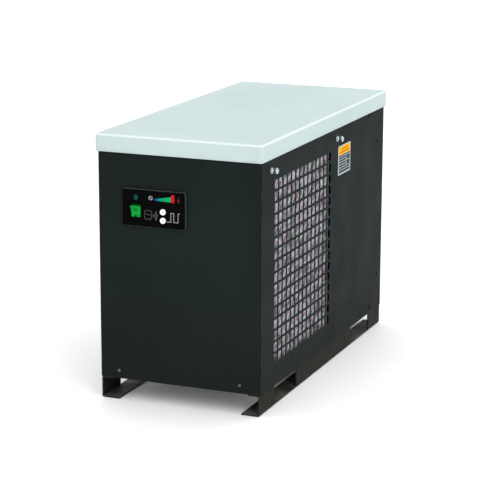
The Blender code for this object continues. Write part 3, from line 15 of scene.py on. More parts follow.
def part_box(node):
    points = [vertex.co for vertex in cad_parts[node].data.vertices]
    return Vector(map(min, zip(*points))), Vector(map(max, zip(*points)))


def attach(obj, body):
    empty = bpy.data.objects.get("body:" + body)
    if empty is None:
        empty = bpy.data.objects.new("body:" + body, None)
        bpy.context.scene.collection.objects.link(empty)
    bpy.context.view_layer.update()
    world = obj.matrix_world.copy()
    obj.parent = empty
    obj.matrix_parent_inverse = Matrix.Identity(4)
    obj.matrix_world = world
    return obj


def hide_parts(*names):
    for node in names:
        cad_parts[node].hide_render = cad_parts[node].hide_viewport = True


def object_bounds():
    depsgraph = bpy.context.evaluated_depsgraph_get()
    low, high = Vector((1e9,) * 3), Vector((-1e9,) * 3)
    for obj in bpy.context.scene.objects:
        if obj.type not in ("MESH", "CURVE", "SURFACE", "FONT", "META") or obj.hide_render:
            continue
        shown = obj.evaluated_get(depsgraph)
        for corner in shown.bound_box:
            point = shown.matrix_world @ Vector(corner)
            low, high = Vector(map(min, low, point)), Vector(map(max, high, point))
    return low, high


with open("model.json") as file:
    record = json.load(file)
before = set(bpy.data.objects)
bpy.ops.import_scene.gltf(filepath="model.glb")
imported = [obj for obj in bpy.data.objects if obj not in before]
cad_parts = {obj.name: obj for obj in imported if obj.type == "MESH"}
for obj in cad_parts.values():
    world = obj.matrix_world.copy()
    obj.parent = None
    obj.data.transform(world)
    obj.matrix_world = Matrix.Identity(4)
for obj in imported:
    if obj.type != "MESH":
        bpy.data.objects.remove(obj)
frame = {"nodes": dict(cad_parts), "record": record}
cad_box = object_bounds()
NODES = frame["nodes"]
BODY_OF = {node: body for body, nodes in frame["record"]["behaviour"]["bodies"].items()
           for node in nodes}
SLOT_OF = {part["node"]: part["material_slot"] for part in frame["record"]["subparts"]}


def corners(node):
    """The low and high corners of node's box."""
    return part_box(node)


def middle_and_half(node):
    """The middle of node's box, and half the box's size."""
    low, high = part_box(node)
    return (low + high) / 2, (high - low) / 2


def centre(node):
    return middle_and_half(node)[0]


# --- Camera, floor and light --------------------------------------------------------------------
CAMERA_PLACE = (1.4403, -3.5792, 1.1640)
CAMERA_YAW = 22.03
CAMERA_PITCH = -13.54
CAMERA_ROLL = 0.20
CAMERA_LENS = 134.9


def build_camera():
    """A three-quarter view of the front and the grille side."""
    data = bpy.data.cameras.new("camera")
    data.lens = CAMERA_LENS
    data.sensor_width = 36.0
    data.clip_end = 60.0
    camera = bpy.data.objects.new("camera", data)
    bpy.context.scene.collection.objects.link(camera)
    turn = Matrix.Rotation(radians(CAMERA_YAW), 4, "Z")
    turn = turn @ Matrix.Rotation(radians(90 + CAMERA_PITCH), 4, "X")
    turn = turn @ Matrix.Rotation(radians(CAMERA_ROLL), 4, "Z")
    camera.matrix_world = Matrix.Translation(CAMERA_PLACE) @ turn
    bpy.context.scene.camera = camera


def add_area_light(name, place, size, power, colour):
    data = bpy.data.lights.new(name, "AREA")
    data.shape = "RECTANGLE"
    data.size, data.size_y = size
    data.energy = power
    data.color = colour
    light = bpy.data.objects.new(name, data)
    bpy.context.scene.collection.objects.link(light)
    away = Vector(place) - Vector(LIGHTS_AIM)
    light.location = place
    light.rotation_euler = away.to_track_quat("Z", "Y").to_euler()


LIGHTS_AIM = (0.0, 0.0, 0.3)
LIGHTS = (                                # name, place, width and height, power, colour
    ("key", (2.3, -2.6, 2.0), (1.5, 1.9), 33.0, (1.0, 0.985, 0.96)),
    ("overhead", (0.3, 0.6, 3.4), (2.6, 2.6), 13.0, (0.96, 0.985, 1.0)),
)
WORLD_BRIGHT_SIDE = (0.40, -0.12, 0.74)
WORLD_STRENGTH = (0.86, 1.36)             # least and most, before the direction is weighed


def build_lights():
    for light in LIGHTS:
        add_area_light(*light)
    build_world()
    bpy.context.scene.view_settings.view_transform = "Standard"


def build_world():
    """An even pale room that is a little brighter above, in front and to the right."""
    world = bpy.data.worlds.new("studio")
    world.use_nodes = True
    nodes, links = world.node_tree.nodes, world.node_tree.links
    background = nodes["Background"]
    background.inputs["Color"].default_value = (0.985, 0.99, 1.0, 1.0)
    toward = nodes.new("ShaderNodeVectorMath")
    toward.operation = "DOT_PRODUCT"
    toward.inputs[1].default_value = WORLD_BRIGHT_SIDE
    links.new(nodes.new("ShaderNodeTexCoord").outputs["Generated"], toward.inputs[0])
    level = nodes.new("ShaderNodeMapRange")
    level.inputs["From Min"].default_value = -1.0
    level.inputs["To Min"].default_value, level.inputs["To Max"].default_value = WORLD_STRENGTH
    links.new(toward.outputs["Value"], level.inputs["Value"])
    links.new(level.outputs[0], background.inputs["Strength"])
    bpy.context.scene.world = world


# --- Materials ----------------------------------------------------------------------------------
class Surface:
    """A Principled material whose nodes are added with one short call each."""

    def __init__(self, name, metallic=0.0, **sockets):
        self.material = bpy.data.materials.new(name)
        self.material.use_nodes = True
        self.tree = self.material.node_tree
        self.shader = self.tree.nodes["Principled BSDF"]
        self.shader.inputs["Metallic"].default_value = metallic
        for socket, value in sockets.items():
            self.shader.inputs[socket.replace("_", " ")].default_value = value
        self.place = self.add("TexCoord").outputs["Object"]

    def add(self, kind, inputs=None, **settings):
        node = self.tree.nodes.new("ShaderNode" + kind)
        for name, value in settings.items():
            setattr(node, name, value)
        for key, value in (inputs or {}).items():
            self.feed(node.inputs[key], value)
        return node

    def feed(self, socket, value):
        if isinstance(value, bpy.types.NodeSocket):
            self.tree.links.new(value, socket)
        else:
            socket.default_value = value

    def along(self, axis):
        """The shaded point's X, Y or Z, for axis 0, 1 or 2."""
        return self.add("SeparateXYZ", {0: self.place}).outputs[axis]

    def mapped(self, scale=(1.0, 1.0, 1.0), turn=0.0, kind="POINT"):
        """The shaded point, scaled, and turned about X by so many degrees."""
        return self.add("Mapping", {"Vector": self.place, "Rotation": (radians(turn), 0.0, 0.0),
                                    "Scale": scale}, vector_type=kind).outputs[0]

    def noise(self, scale, detail=3.0, place=None, distortion=0.0):
        node = self.add("TexNoise", {"Vector": place or self.place, "Scale": scale,
                                     "Detail": detail, "Distortion": distortion})
        return node.outputs["Fac"]

    def cells(self, scale, feature="F1", output="Distance"):
        node = self.add("TexVoronoi", {"Vector": self.place, "Scale": scale}, feature=feature)
        return node.outputs[output]

    def ramp(self, factor, *stops):
        """Colours by factor. Each stop is (position, (red, green, blue))."""
        node = self.add("ValToRGB", {"Fac": factor})
        elements = node.color_ramp.elements
        while len(elements) < len(stops):
            elements.new(0.5)
        for element, (position, colour) in zip(elements, stops):
            element.position = position
            element.color = (*colour, 1.0)
        return node.outputs["Color"]

    def span(self, factor, low, high, start=0.3, end=0.7):
        """A number that goes from low to high as factor goes from start to end."""
        node = self.add("MapRange", {"Value": factor, "From Min": start, "From Max": end,
                                     "To Min": low, "To Max": high})
        return node.outputs[0]

    def math(self, operation, first, second=0.0):
        node = self.add("Math", operation=operation)
        self.feed(node.inputs[0], first)
        self.feed(node.inputs[1], second)
        return node.outputs[0]

    def mix(self, factor, first, second):
        node = self.add("Mix", data_type="RGBA")
        for index, value in ((0, factor), (6, first), (7, second)):
            if isinstance(value, tuple):
                value = (*value, 1.0)
            self.feed(node.inputs[index], value)
        return node.outputs[2]

    def edges(self, radius, strength):
        """Near 1 on edges sharper than radius, and 0 on flat faces."""
        rounded = self.add("Bevel", {"Radius": radius}, samples=4)
        flat = self.add("NewGeometry")
        dot = self.add("VectorMath", operation="DOT_PRODUCT")
        self.feed(dot.inputs[0], rounded.outputs[0])
        self.feed(dot.inputs[1], flat.outputs["Normal"])
        return self.span(dot.outputs["Value"], strength, 0.0, 0.80, 0.99)

    def height_of_normal(self):
        """The vertical part of the normal: 1 where a face looks up and -1 where it looks down."""
        normal = self.add("SeparateXYZ", {0: self.add("NewGeometry").outputs["Normal"]})
        return normal.outputs[2]

    def upward(self):
        """1 on faces that look straight up and 0 on the others."""
        return self.span(self.height_of_normal(), 0.0, 1.0, 0.6, 0.95)

    def finish(self, colour, roughness, *heights):
        """Connect colour and roughness, and one bump for each (height, strength, distance)."""
        self.feed(self.shader.inputs["Base Color"], colour)
        self.feed(self.shader.inputs["Roughness"], roughness)
        normal = None
        for height, strength, distance in heights:
            bump = self.add("Bump", {"Height": height, "Strength": strength,
                                     "Distance": distance})
            if normal is not None:
                self.feed(bump.inputs["Normal"], normal)
            normal = bump.outputs[0]
        if normal is not None:
            self.feed(self.shader.inputs["Normal"], normal)
        return self.material


DUST = (0.42, 0.41, 0.38)
GRIME = (0.26, 0.27, 0.26)
BARE_EDGE = (0.16, 0.165, 0.16)


def scaled(colour, factor):
    """A colour times a factor, with no part above 1."""
    return tuple(min(1.0, c * factor) for c in colour)


def powder_coat(name, colour, roughness, grain, worn, dust, sheen=0.05):
    """Baked paint with an orange-peel texture, bare rubbed edges and dust on level faces."""
    s = Surface(name, Specular_IOR_Level=sheen)
    cloud = s.noise(4.5, 5.0, distortion=0.4)
    speck = s.noise(1100.0, 2.0)
    shade = s.ramp(cloud, (0.30, scaled(colour, 0.84)), (0.72, scaled(colour, 1.18)))
    shade = s.mix(s.span(speck, 0.0, 0.35, 0.52, 0.75), shade, scaled(colour, 1.9))
    # Warmer and darker towards the bottom.
    darker_warmer_below = (1.04 * colour[0], 0.86 * colour[1], 0.76 * colour[2])
    shade = s.mix(s.span(s.along(2), 0.8, 0.0, 0.05, 0.24), shade, darker_warmer_below)
    rub = s.math("MULTIPLY", s.edges(0.0009, 0.55), s.span(s.noise(55.0, 4.0), 0.0, 1.0))
    shade = s.mix(rub, shade, worn)
    level = s.math("MULTIPLY", s.upward(), s.span(s.noise(24.0, 5.0), 0.02, dust, 0.35, 0.75))
    shade = s.mix(level, shade, DUST)
    rough = s.span(s.noise(13.0, 4.0), roughness - 0.05, roughness + 0.07)
    peel = s.cells(430.0, "SMOOTH_F1")
    return s.finish(shade, rough, (peel, 0.22 * grain, 0.0004), (speck, 0.20 * grain, 0.0003))


def cover_paint(name, colour):
    """Smooth pale paint with faint wiping marks, a little grime along its lower edge and a painted
    highlight along its rounded edges.
    """
    s = Surface(name, Specular_IOR_Level=0.03)
    cloud = s.noise(3.2, 4.0, distortion=0.6)
    shade = s.ramp(cloud, (0.3, scaled(colour, 0.955)), (0.72, scaled(colour, 1.03)))
    wiped = s.noise(9.0, 6.0, s.mapped((1.0, 0.16, 1.0)))
    shade = s.mix(s.span(wiped, 0.0, 0.05, 0.50, 0.8), shade, (0.38, 0.42, 0.42))
    bottom = corners("top_cover")[0].z
    hem = s.span(s.along(2), 1.0, 0.0, bottom, bottom + 0.010)
    hem = s.math("MULTIPLY", hem, s.span(s.noise(70.0, 4.0), 0.02, 0.30, 0.35, 0.8))
    shade = s.mix(hem, shade, GRIME)
    # Lighter colour where the normal turns over the rounded edges: a painted highlight.
    slope = s.height_of_normal()
    painted_edge_highlight = s.math("MULTIPLY", s.span(slope, 0.0, 0.42, 0.10, 0.35),
                    s.span(slope, 1.0, 0.0, 0.90, 0.985))
    shade = s.mix(painted_edge_highlight, shade, (0.80, 0.84, 0.86))
    rough = s.span(wiped, 0.44, 0.56, 0.35, 0.7)
    return s.finish(shade, rough, (s.noise(240.0, 2.0), 0.10, 0.0004),
                    (s.noise(2.6, 2.0), 0.10, 0.010))


def galvanised(name):
    """Zinc coat with a spangle and dull stains."""
    s = Surface(name, 1.0)
    tint = (0.50, 0.52, 0.54)
    spangle = s.cells(95.0, output="Color")
    grey = s.add("RGBToBW", {0: spangle}).outputs[0]
    shade = s.ramp(grey, (0.2, scaled(tint, 0.78)), (0.8, scaled(tint, 1.22)))
    stain = s.span(s.noise(15.0, 5.0), 0.0, 0.45, 0.55, 0.85)
    shade = s.mix(stain, shade, (0.30, 0.30, 0.29))
    return s.finish(shade, s.span(grey, 0.30, 0.52), (grey, 0.05, 0.0006))


def moulded(name, colour, roughness, grain=0.25, sheen=0.5):
    """Moulded plastic with a fine spark-eroded grain and a painted highlight along its edges."""
    s = Surface(name, Specular_IOR_Level=sheen)
    cloud = s.noise(22.0, 4.0)
    shade = s.ramp(cloud, (0.3, scaled(colour, 0.88)), (0.7, scaled(colour, 1.12)))
    # Lighter colour on every edge: a painted highlight.
    shade = s.mix(s.edges(0.0006, 0.18), shade, scaled(colour, 1.7))
    pits = s.noise(1700.0, 2.0)
    rough = s.span(s.noise(60.0, 3.0), roughness - 0.05, roughness + 0.06)
    return s.finish(shade, rough, (pits, grain, 0.00025))


def machined(name, colour, roughness, stain=None, scratches=0.12):
    """Bright metal with fine tool marks and, if a stain colour is given, tarnish."""
    s = Surface(name, 1.0)
    lines = s.noise(520.0, 3.0, s.mapped((1.0, 1.0, 0.06)))
    shade = s.ramp(lines, (0.25, scaled(colour, 0.90)), (0.75, scaled(colour, 1.08)))
    if stain:
        patches = s.span(s.noise(48.0, 6.0, distortion=0.8), 0.0, 0.75, 0.45, 0.75)
        shade = s.mix(patches, shade, stain)
    rough = s.span(s.noise(85.0, 4.0), roughness - 0.06, roughness + 0.12)
    return s.finish(shade, rough, (lines, scratches, 0.0002))


def finned_aluminium(name):
    """Bare fin stock: bright, with faint pink, lilac and green tints from its clear coating, and
    slanted dark strokes of painted shade.
    """
    s = Surface(name, 0.15, Specular_IOR_Level=0.6)
    tint = s.noise(75.0, 2.0, distortion=1.5)
    shade = s.ramp(tint, (0.32, (0.62, 0.98, 0.78)), (0.43, (1.0, 1.0, 0.96)),
                   (0.50, (0.84, 0.84, 1.0)), (0.58, (1.0, 0.64, 0.90)),
                   (0.70, (0.98, 0.98, 1.0)))
    # Dark slanted strokes over the fins: painted shade, standing in for the shading of bent fins.
    slanted = s.mapped((3.0, 1.0, 3.0), -50, "TEXTURE")
    painted_fin_shade = s.span(s.noise(150.0, 1.0, slanted, 0.2), 0.0, 0.94, 0.46, 0.56)
    shade = s.mix(painted_fin_shade, shade, (0.235, 0.235, 0.230))
    return s.finish(shade, s.span(tint, 0.26, 0.44), (s.noise(700.0, 2.0), 0.2, 0.0004))


def closed_foam(name):
    """Black insulation foam with small open bubbles and settled dust."""
    s = Surface(name, Sheen_Weight=0.15)
    bubbles = s.cells(620.0)
    shade = s.ramp(s.noise(30.0, 5.0), (0.3, (0.016, 0.016, 0.017)), (0.75, (0.042, 0.042, 0.045)))
    shade = s.mix(s.math("MULTIPLY", s.upward(), 0.16), shade, (0.30, 0.29, 0.27))
    return s.finish(shade, s.span(bubbles, 0.82, 0.97, 0.1, 0.6), (bubbles, 0.7, 0.0008))


def soft_rubber(name):
    """Dull black rubber."""
    s = Surface(name)
    shade = s.ramp(s.noise(70.0, 5.0), (0.3, (0.014, 0.014, 0.014)), (0.75, (0.036, 0.036, 0.037)))
    return s.finish(shade, s.span(s.noise(190.0, 3.0), 0.68, 0.9), (s.noise(900.0), 0.35, 0.0003))


def solder_mask(name):
    """Green board with copper tracks under the mask and pale pads."""
    s = Surface(name, Coat_Weight=0.4, Coat_Roughness=0.2)
    tracks = s.add("TexBrick", {"Vector": s.mapped(turn=90), "Scale": 160.0, "Mortar Size": 0.06})
    shade = s.mix(tracks.outputs["Fac"], (0.012, 0.13, 0.05), (0.05, 0.27, 0.10))
    shade = s.mix(s.span(s.cells(260.0), 1.0, 0.0, 0.10, 0.16), shade, (0.62, 0.62, 0.58))
    return s.finish(shade, s.span(s.noise(90.0), 0.30, 0.42), (tracks.outputs["Fac"], 0.2, 0.0002))


def glowing(name, colour, strength):
    """Tinted plastic, lit from inside and brighter in the middle of each cloud, with painted shade
    on faces that look up.
    """
    s = Surface(name, Coat_Weight=0.02, Coat_Roughness=0.12, Emission_Strength=strength,
                Specular_IOR_Level=0.05)
    cloud = s.noise(120.0, 2.0)
    shade = s.ramp(cloud, (0.3, scaled(colour, 0.72)), (0.7, scaled(colour, 1.15)))
    # Faces that look up are darkened: painted shade.
    shade = s.mix(s.span(s.height_of_normal(), 0.0, 0.9, 0.25, 0.8), shade, scaled(colour, 0.10))
    s.feed(s.shader.inputs["Emission Color"], shade)
    return s.finish(shade, s.span(cloud, 0.16, 0.30), (s.noise(500.0), 0.06, 0.0002))


def printed(name, colour, roughness=0.45, sheen=0.08):
    """Screen-printed ink: slightly uneven, with pinholes."""
    s = Surface(name, Specular_IOR_Level=sheen)
    shade = s.ramp(s.noise(260.0, 3.0), (0.25, scaled(colour, 0.86)), (0.7, scaled(colour, 1.06)))
    pores = s.span(s.noise(1500.0, 1.0), 0.0, 0.25, 0.66, 0.78)
    shade = s.mix(pores, shade, scaled(colour, 0.5))
    return s.finish(shade, s.span(s.noise(180.0), roughness - 0.08, roughness + 0.08),
                    (s.noise(900.0), 0.1, 0.0002))


def wedge_ink(name):
    """The dew point scale's ink, which runs from blue through teal to green, and glows faintly: a
    painted glow.
    """
    s = Surface(name, Emission_Strength=0.08, Specular_IOR_Level=0.06)
    low, high = corners("gauge_window")
    part = s.span(s.along(0), 0.0, 1.0, low.x + 0.002, high.x - 0.010)
    shade = s.ramp(part, (0.0, (0.008, 0.008, 0.10)), (0.20, (0.008, 0.07, 0.15)),
                   (0.40, (0.0, 0.22, 0.12)), (1.0, (0.0, 0.32, 0.075)))
    s.feed(s.shader.inputs["Emission Color"], shade)
    return s.finish(shade, s.span(s.noise(300.0), 0.35, 0.5), (s.noise(900.0), 0.1, 0.0002))


def floor_finish(name):
    """A pale sweep, lit a little from below as on a light table."""
    s = Surface(name, Emission_Strength=0.06)
    shade = s.ramp(s.noise(1.3, 4.0), (0.3, (0.90, 0.902, 0.905)), (0.7, (0.93, 0.93, 0.93)))
    s.feed(s.shader.inputs["Emission Color"], shade)
    return s.finish(shade, s.span(s.noise(7.0, 4.0), 0.55, 0.7), (s.noise(160.0), 0.04, 0.0006))


# Each material's maker and what it is given
RECIPES = {
    "charcoal_paint": (powder_coat, (0.0093, 0.0141, 0.0136), 0.52, 1.0, BARE_EDGE, 0.16, 0.022),
    # A lighter copy of the charcoal paint, so that the fascia surround's side wall reads as lit:
    # painted light.
    "trim_paint": (powder_coat, (0.027, 0.034, 0.033), 0.45, 0.5, BARE_EDGE, 0.10),
    "skid_paint": (powder_coat, (0.0125, 0.0145, 0.0122), 0.58, 1.3, BARE_EDGE, 0.26),
    "cover_paint": (cover_paint, (0.460, 0.546, 0.540)),
    "galvanised_steel": (galvanised,),
    "grey_plastic": (moulded, (0.27, 0.28, 0.29), 0.5),
    "circuit_board": (solder_mask,),
    "black_plastic": (moulded, (0.0065, 0.0062, 0.0065), 0.40, 0.25, 0.25),
    "fascia_film": (moulded, (0.0010, 0.0012, 0.0012), 0.35, 0.1, 0.02),
    "dark_print": (printed, (0.016, 0.032, 0.034)),
    "grey_print": (printed, (0.044, 0.044, 0.047)),
    "dim_print": (printed, (0.085, 0.085, 0.085)),
    "pale_print": (printed, (0.21, 0.22, 0.24)),
    "white_print": (printed, (0.50, 0.54, 0.52)),
    "red_print": (printed, (0.50, 0.002, 0.006)),
    "orange_print": (printed, (0.86, 0.37, 0.002), 0.6, 0.02),
    "amber_print": (printed, (0.40, 0.15, 0.006), 0.6, 0.02),
    "wedge_print": (wedge_ink,),
    "rocker_green": (glowing, (0.0015, 0.24, 0.028), 0.25),
    # The darker oval on the rocker cap: painted shade.
    "rocker_mark": (moulded, (0.001, 0.150, 0.020), 0.4, 0.25, 0.05),
    "rocker_shade": (moulded, (0.002, 0.070, 0.012), 0.4, 0.25, 0.1),
    "teal_lens": (glowing, (0.0006, 0.048, 0.042), 0.25),
    "knob_white": (moulded, (0.80, 0.82, 0.80), 0.34, 0.1),
    "gauge_window": (moulded, (0.0010, 0.0012, 0.0014), 0.3, 0.02, 0.02),
    "dark_zinc": (machined, (0.16, 0.17, 0.17), 0.34, (0.06, 0.06, 0.06)),
    "chrome": (machined, (0.50, 0.57, 0.57), 0.20, None, 0.08),
    "black_enamel": (powder_coat, (0.010, 0.010, 0.011), 0.26, 0.35, (0.09, 0.09, 0.09), 0.16),
    "label_film": (printed, (0.36, 0.44, 0.44), 0.32, 0.1),
    "coil_aluminium": (machined, (0.66, 0.67, 0.69), 0.34, (0.42, 0.42, 0.42)),
    "fin_stock": (finned_aluminium,),
    "rubber": (soft_rubber,),
    "exchanger_foam": (closed_foam,),
    "copper": (machined, (0.75, 0.37, 0.22), 0.27, (0.34, 0.15, 0.09)),
    "brass": (machined, (0.58, 0.41, 0.18), 0.30, (0.33, 0.22, 0.10)),
    "cable_sheath": (moulded, (0.022, 0.022, 0.024), 0.5),
    "wire_blue": (moulded, (0.015, 0.06, 0.28), 0.42),
    "wire_brown": (moulded, (0.12, 0.045, 0.018), 0.42),
}
MATERIALS = {name: make(name, *settings) for name, (make, *settings) in RECIPES.items()}


# --- Mesh helpers -------------------------------------------------------------------------------
def add_piece(name, bm, material, node=None, body="case", smooth=40):
    """Turn a bmesh into a piece that takes the place of node, or that is added to body."""
    bmesh.ops.recalc_face_normals(bm, faces=bm.faces)
    mesh = bpy.data.meshes.new(name)
    bm.to_mesh(mesh)
    bm.free()
    mesh.materials.append(MATERIALS[material])
    mesh.shade_smooth()
    mesh.set_sharp_from_angle(angle=radians(smooth))
    piece = bpy.data.objects.new(name, mesh)
    bpy.context.scene.collection.objects.link(piece)
    weights = piece.modifiers.new("even_shading", "WEIGHTED_NORMAL")
    weights.keep_sharp = True
    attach(piece, BODY_OF[node] if node else body)
    if node:
        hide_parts(node)
    return piece


def cut_piece(piece, cutter):
    """Take cutter, a bmesh, out of piece with one applied EXACT Boolean."""
    bmesh.ops.recalc_face_normals(cutter, faces=cutter.faces)
    mesh = bpy.data.meshes.new("cutter")
    cutter.to_mesh(mesh)
    cutter.free()
    tool = bpy.data.objects.new("cutter", mesh)
    bpy.context.scene.collection.objects.link(tool)
    modifier = piece.modifiers.new("cut", "BOOLEAN")
    modifier.operation = "DIFFERENCE"
    modifier.solver = "EXACT"
    modifier.object = tool
    piece.modifiers.move(len(piece.modifiers) - 1, 0)
    weights = piece.modifiers["even_shading"]
    weights.show_viewport = False
    bpy.context.view_layer.update()
    graph = bpy.context.evaluated_depsgraph_get()
    result = bpy.data.meshes.new_from_object(piece.evaluated_get(graph))
    piece.modifiers.remove(modifier)
    weights.show_viewport = True
    result.name = piece.name
    piece.data = result
    bpy.data.objects.remove(tool)


AXIS_TURN = {
    "X": Matrix(((0, 0, 1, 0), (1, 0, 0, 0), (0, 1, 0, 0), (0, 0, 0, 1))),
    "Y": Matrix(((1, 0, 0, 0), (0, 0, 1, 0), (0, -1, 0, 0), (0, 0, 0, 1))),
    "-Y": Matrix(((1, 0, 0, 0), (0, 0, -1, 0), (0, 1, 0, 0), (0, 0, 0, 1))),
    "-X": Matrix(((0, 0, -1, 0), (-1, 0, 0, 0), (0, 1, 0, 0), (0, 0, 0, 1))),
    "Z": Matrix.Identity(4),
}


def placed(bm, axis, origin):
    """Turn a bmesh made along +Z so that it runs along axis, and move it to origin."""
    bmesh.ops.transform(bm, matrix=Matrix.Translation(origin) @ AXIS_TURN[axis], verts=bm.verts)
    return bm


def bridge(bm, first, second):
    """Faces between two closed rings of vertices."""
    for i in range(len(first)):
        j = (i + 1) % len(first)
        bm.faces.new((first[i], first[j], second[j], second[i]))


def grid_rim(grid):
    """The outer vertices of a grid of vertices, in order around it."""
    rim = [row[0] for row in grid] + grid[-1][1:]
    return rim + [row[-1] for row in grid[-2::-1]] + grid[0][-2:0:-1]


def shell(columns, rows, point, layers):
    """Two sheets through point(i, j, layer), joined around their rims."""
    bm = bmesh.new()
    rims = []
    for layer in layers:
        grid = [[bm.verts.new(point(i, j, layer)) for j in range(rows + 1)]
                for i in range(columns + 1)]
        for i in range(columns):
            for j in range(rows):
                bm.faces.new((grid[i][j], grid[i + 1][j], grid[i + 1][j + 1], grid[i][j + 1]))
        rims.append(grid_rim(grid))
    bridge(bm, *rims)
    return bm


def loft(rings, closed=True):
    """A skin through rings of points, with its ends filled if closed."""
    bm = bmesh.new()
    made = [[bm.verts.new(point) for point in ring] for ring in rings]
    for first, second in zip(made, made[1:]):
        bridge(bm, first, second)
    if closed:
        bm.faces.new(made[0])
        bm.faces.new(made[-1])
    return bm


def turned(profile, segments=48, radius_at=None):
    """Turn (radius, height) about +Z. radius_at(angle, radius, height) may flute or thread it."""
    rings = []
    for radius, height in profile:
        ring = []
        for i in range(segments):
            angle = tau * i / segments
            reach = radius_at(angle, radius, height) if radius_at else radius
            ring.append((reach * cos(angle), reach * sin(angle), height))
        rings.append(ring)
    return loft(rings)


def box(low, high):
    """A block between two corners, as a bmesh."""
    bm = bmesh.new()
    size = Vector(high) - Vector(low)
    matrix = Matrix.Translation((Vector(low) + Vector(high)) / 2) @ Matrix.Diagonal((*size, 1.0))
    bmesh.ops.create_cube(bm, size=1.0, matrix=matrix)
    return bm


def arc(middle, radius, start, end, steps):
    """Flat points along an arc between two angles in degrees."""
    points = []
    for i in range(steps + 1):
        angle = radians(start + (end - start) * i / steps)
        points.append((middle[0] + radius * cos(angle), middle[1] + radius * sin(angle)))
    return points


def rounded(middle, half, radius, steps=5):
    """A rectangle with rounded corners, as a list of points."""
    points = []
    for i, (sx, sy) in enumerate(((1, 1), (-1, 1), (-1, -1), (1, -1))):
        corner = (middle[0] + sx * (half[0] - radius), middle[1] + sy * (half[1] - radius))
        points += arc(corner, radius, 90 * i, 90 * i + 90, steps)
    return points


def softened(bm, width, sharper_than=30, segments=2):
    """Round every edge of a bmesh that turns by more than sharper_than degrees."""
    limit = radians(sharper_than)
    chosen = [edge for edge in bm.edges
              if len(edge.link_faces) == 2 and edge.calc_face_angle(0.0) > limit]
    bmesh.ops.bevel(bm, geom=chosen, offset=width, segments=segments, profile=0.6,
                    affect="EDGES", clamp_overlap=True)
    return bm


def laid(axis, start):
    """How a flat point (u, v), raised by w, lies on the plane across axis at start."""
    return {"X": lambda u, v, w: (start + w, u, v), "Y": lambda u, v, w: (u, start + w, v),
            "-Y": lambda u, v, w: (u, start - w, v), "Z": lambda u, v, w: (u, v, start + w)}[axis]


def plate(outline, axis, start, thickness, edge=0.0):
    """An outline extruded along axis, with its far rim rounded by edge."""
    levels = [(outline, 0.0), (outline, thickness - edge)]
    if edge:
        middle = Vector((sum(p[0] for p in outline), sum(p[1] for p in outline))) / len(outline)
        size = max((Vector(p) - middle).length for p in outline)
        inset = [middle + (Vector(p) - middle) * (1 - edge / size) for p in outline]
        levels.append((inset, thickness))
    lay = laid(axis, start)
    return loft([[lay(*point, height) for point in shape] for shape, height in levels])


def stroke(points, width, closed=False):
    """The outline of a line of even width through points, or its two rims if it is closed."""
    points = [Vector(point) for point in points]
    left, right = [], []
    count = len(points)
    for i, point in enumerate(points):
        before = points[i - 1] if closed or i else point
        after = points[(i + 1) % count] if closed or i < count - 1 else point
        into = (point - before).normalized() if before != point else None
        out = (after - point).normalized() if after != point else None
        into = into or out
        out = out or into
        side = Vector((-(into + out).y, (into + out).x)).normalized()
        reach = width / 2 / max(0.4, side.dot(Vector((-into.y, into.x))))
        left.append(point + side * reach)
        right.append(point - side * reach)
    return (left, right) if closed else left + right[::-1]


def ring_plate(rims, axis, start, thickness):
    """A flat ring between two rims with the same number of points."""
    bm = bmesh.new()
    lay = laid(axis, start)
    loops = [[bm.verts.new(lay(u, v, depth)) for u, v in rims[rim]]
             for rim, depth in ((0, 0.0), (0, thickness), (1, thickness), (1, 0.0))]
    for first, second in zip(loops, loops[1:] + loops[:1]):
        bridge(bm, first, second)
    return bm


def rounded_loft(middle, half, radius, levels, lay, closed=True):
    """A skin through rounded rectangles, each given as (growth, height)."""
    rings = []
    for grow, height in levels:
        size = (half[0] + grow, half[1] + grow)
        outline = rounded(middle, size, max(radius + grow, 0.0010), 6)
        rings.append([lay(u, v, height) for u, v in outline])
    return loft(rings, closed)


def merged(*parts):
    """One bmesh that holds several."""
    whole = bmesh.new()
    for part in parts:
        mesh = bpy.data.meshes.new("part")
        part.to_mesh(mesh)
        part.free()
        whole.from_mesh(mesh)
        bpy.data.meshes.remove(mesh)
    return whole


def smooth_route(points, per_span=8):
    """Catmull-Rom curve through points."""
    knots = [Vector(point) for point in points]
    knots = [2 * knots[0] - knots[1]] + knots + [2 * knots[-1] - knots[-2]]
    route = []
    for i in range(1, len(knots) - 2):
        a, b, c, d = knots[i - 1:i + 3]
        for step in range(per_span):
            t = step / per_span
            route.append(0.5 * (2 * b + (c - a) * t + (2 * a - 5 * b + 4 * c - d) * t ** 2
                                + (3 * b - a - 3 * c + d) * t ** 3))
    return route + [knots[-2]]


def tube(route, radius, sides=14):
    """A round tube along a list of points, kept from twisting."""
    rings = []
    side = None
    for i, point in enumerate(route):
        ahead = (route[min(i + 1, len(route) - 1)] - route[max(i - 1, 0)]).normalized()
        if side is None:
            side = ahead.orthogonal().normalized()
        side = (side - ahead * side.dot(ahead)).normalized()
        up = ahead.cross(side)
        rings.append([point + (side * cos(tau * k / sides) + up * sin(tau * k / sides)) * radius
                      for k in range(sides)])
    return loft(rings)


def refine(node, material, width):
    """A copy of a CAD node with its flat faces joined and its edges slightly rounded."""
    bm = bmesh.new()
    bm.from_mesh(NODES[node].data)
    bmesh.ops.remove_doubles(bm, verts=bm.verts, dist=1e-6)
    bmesh.ops.dissolve_limit(bm, angle_limit=radians(0.5), verts=bm.verts, edges=bm.edges)
    softened(bm, width)
    add_piece(node + "_finish", bm, material, node)


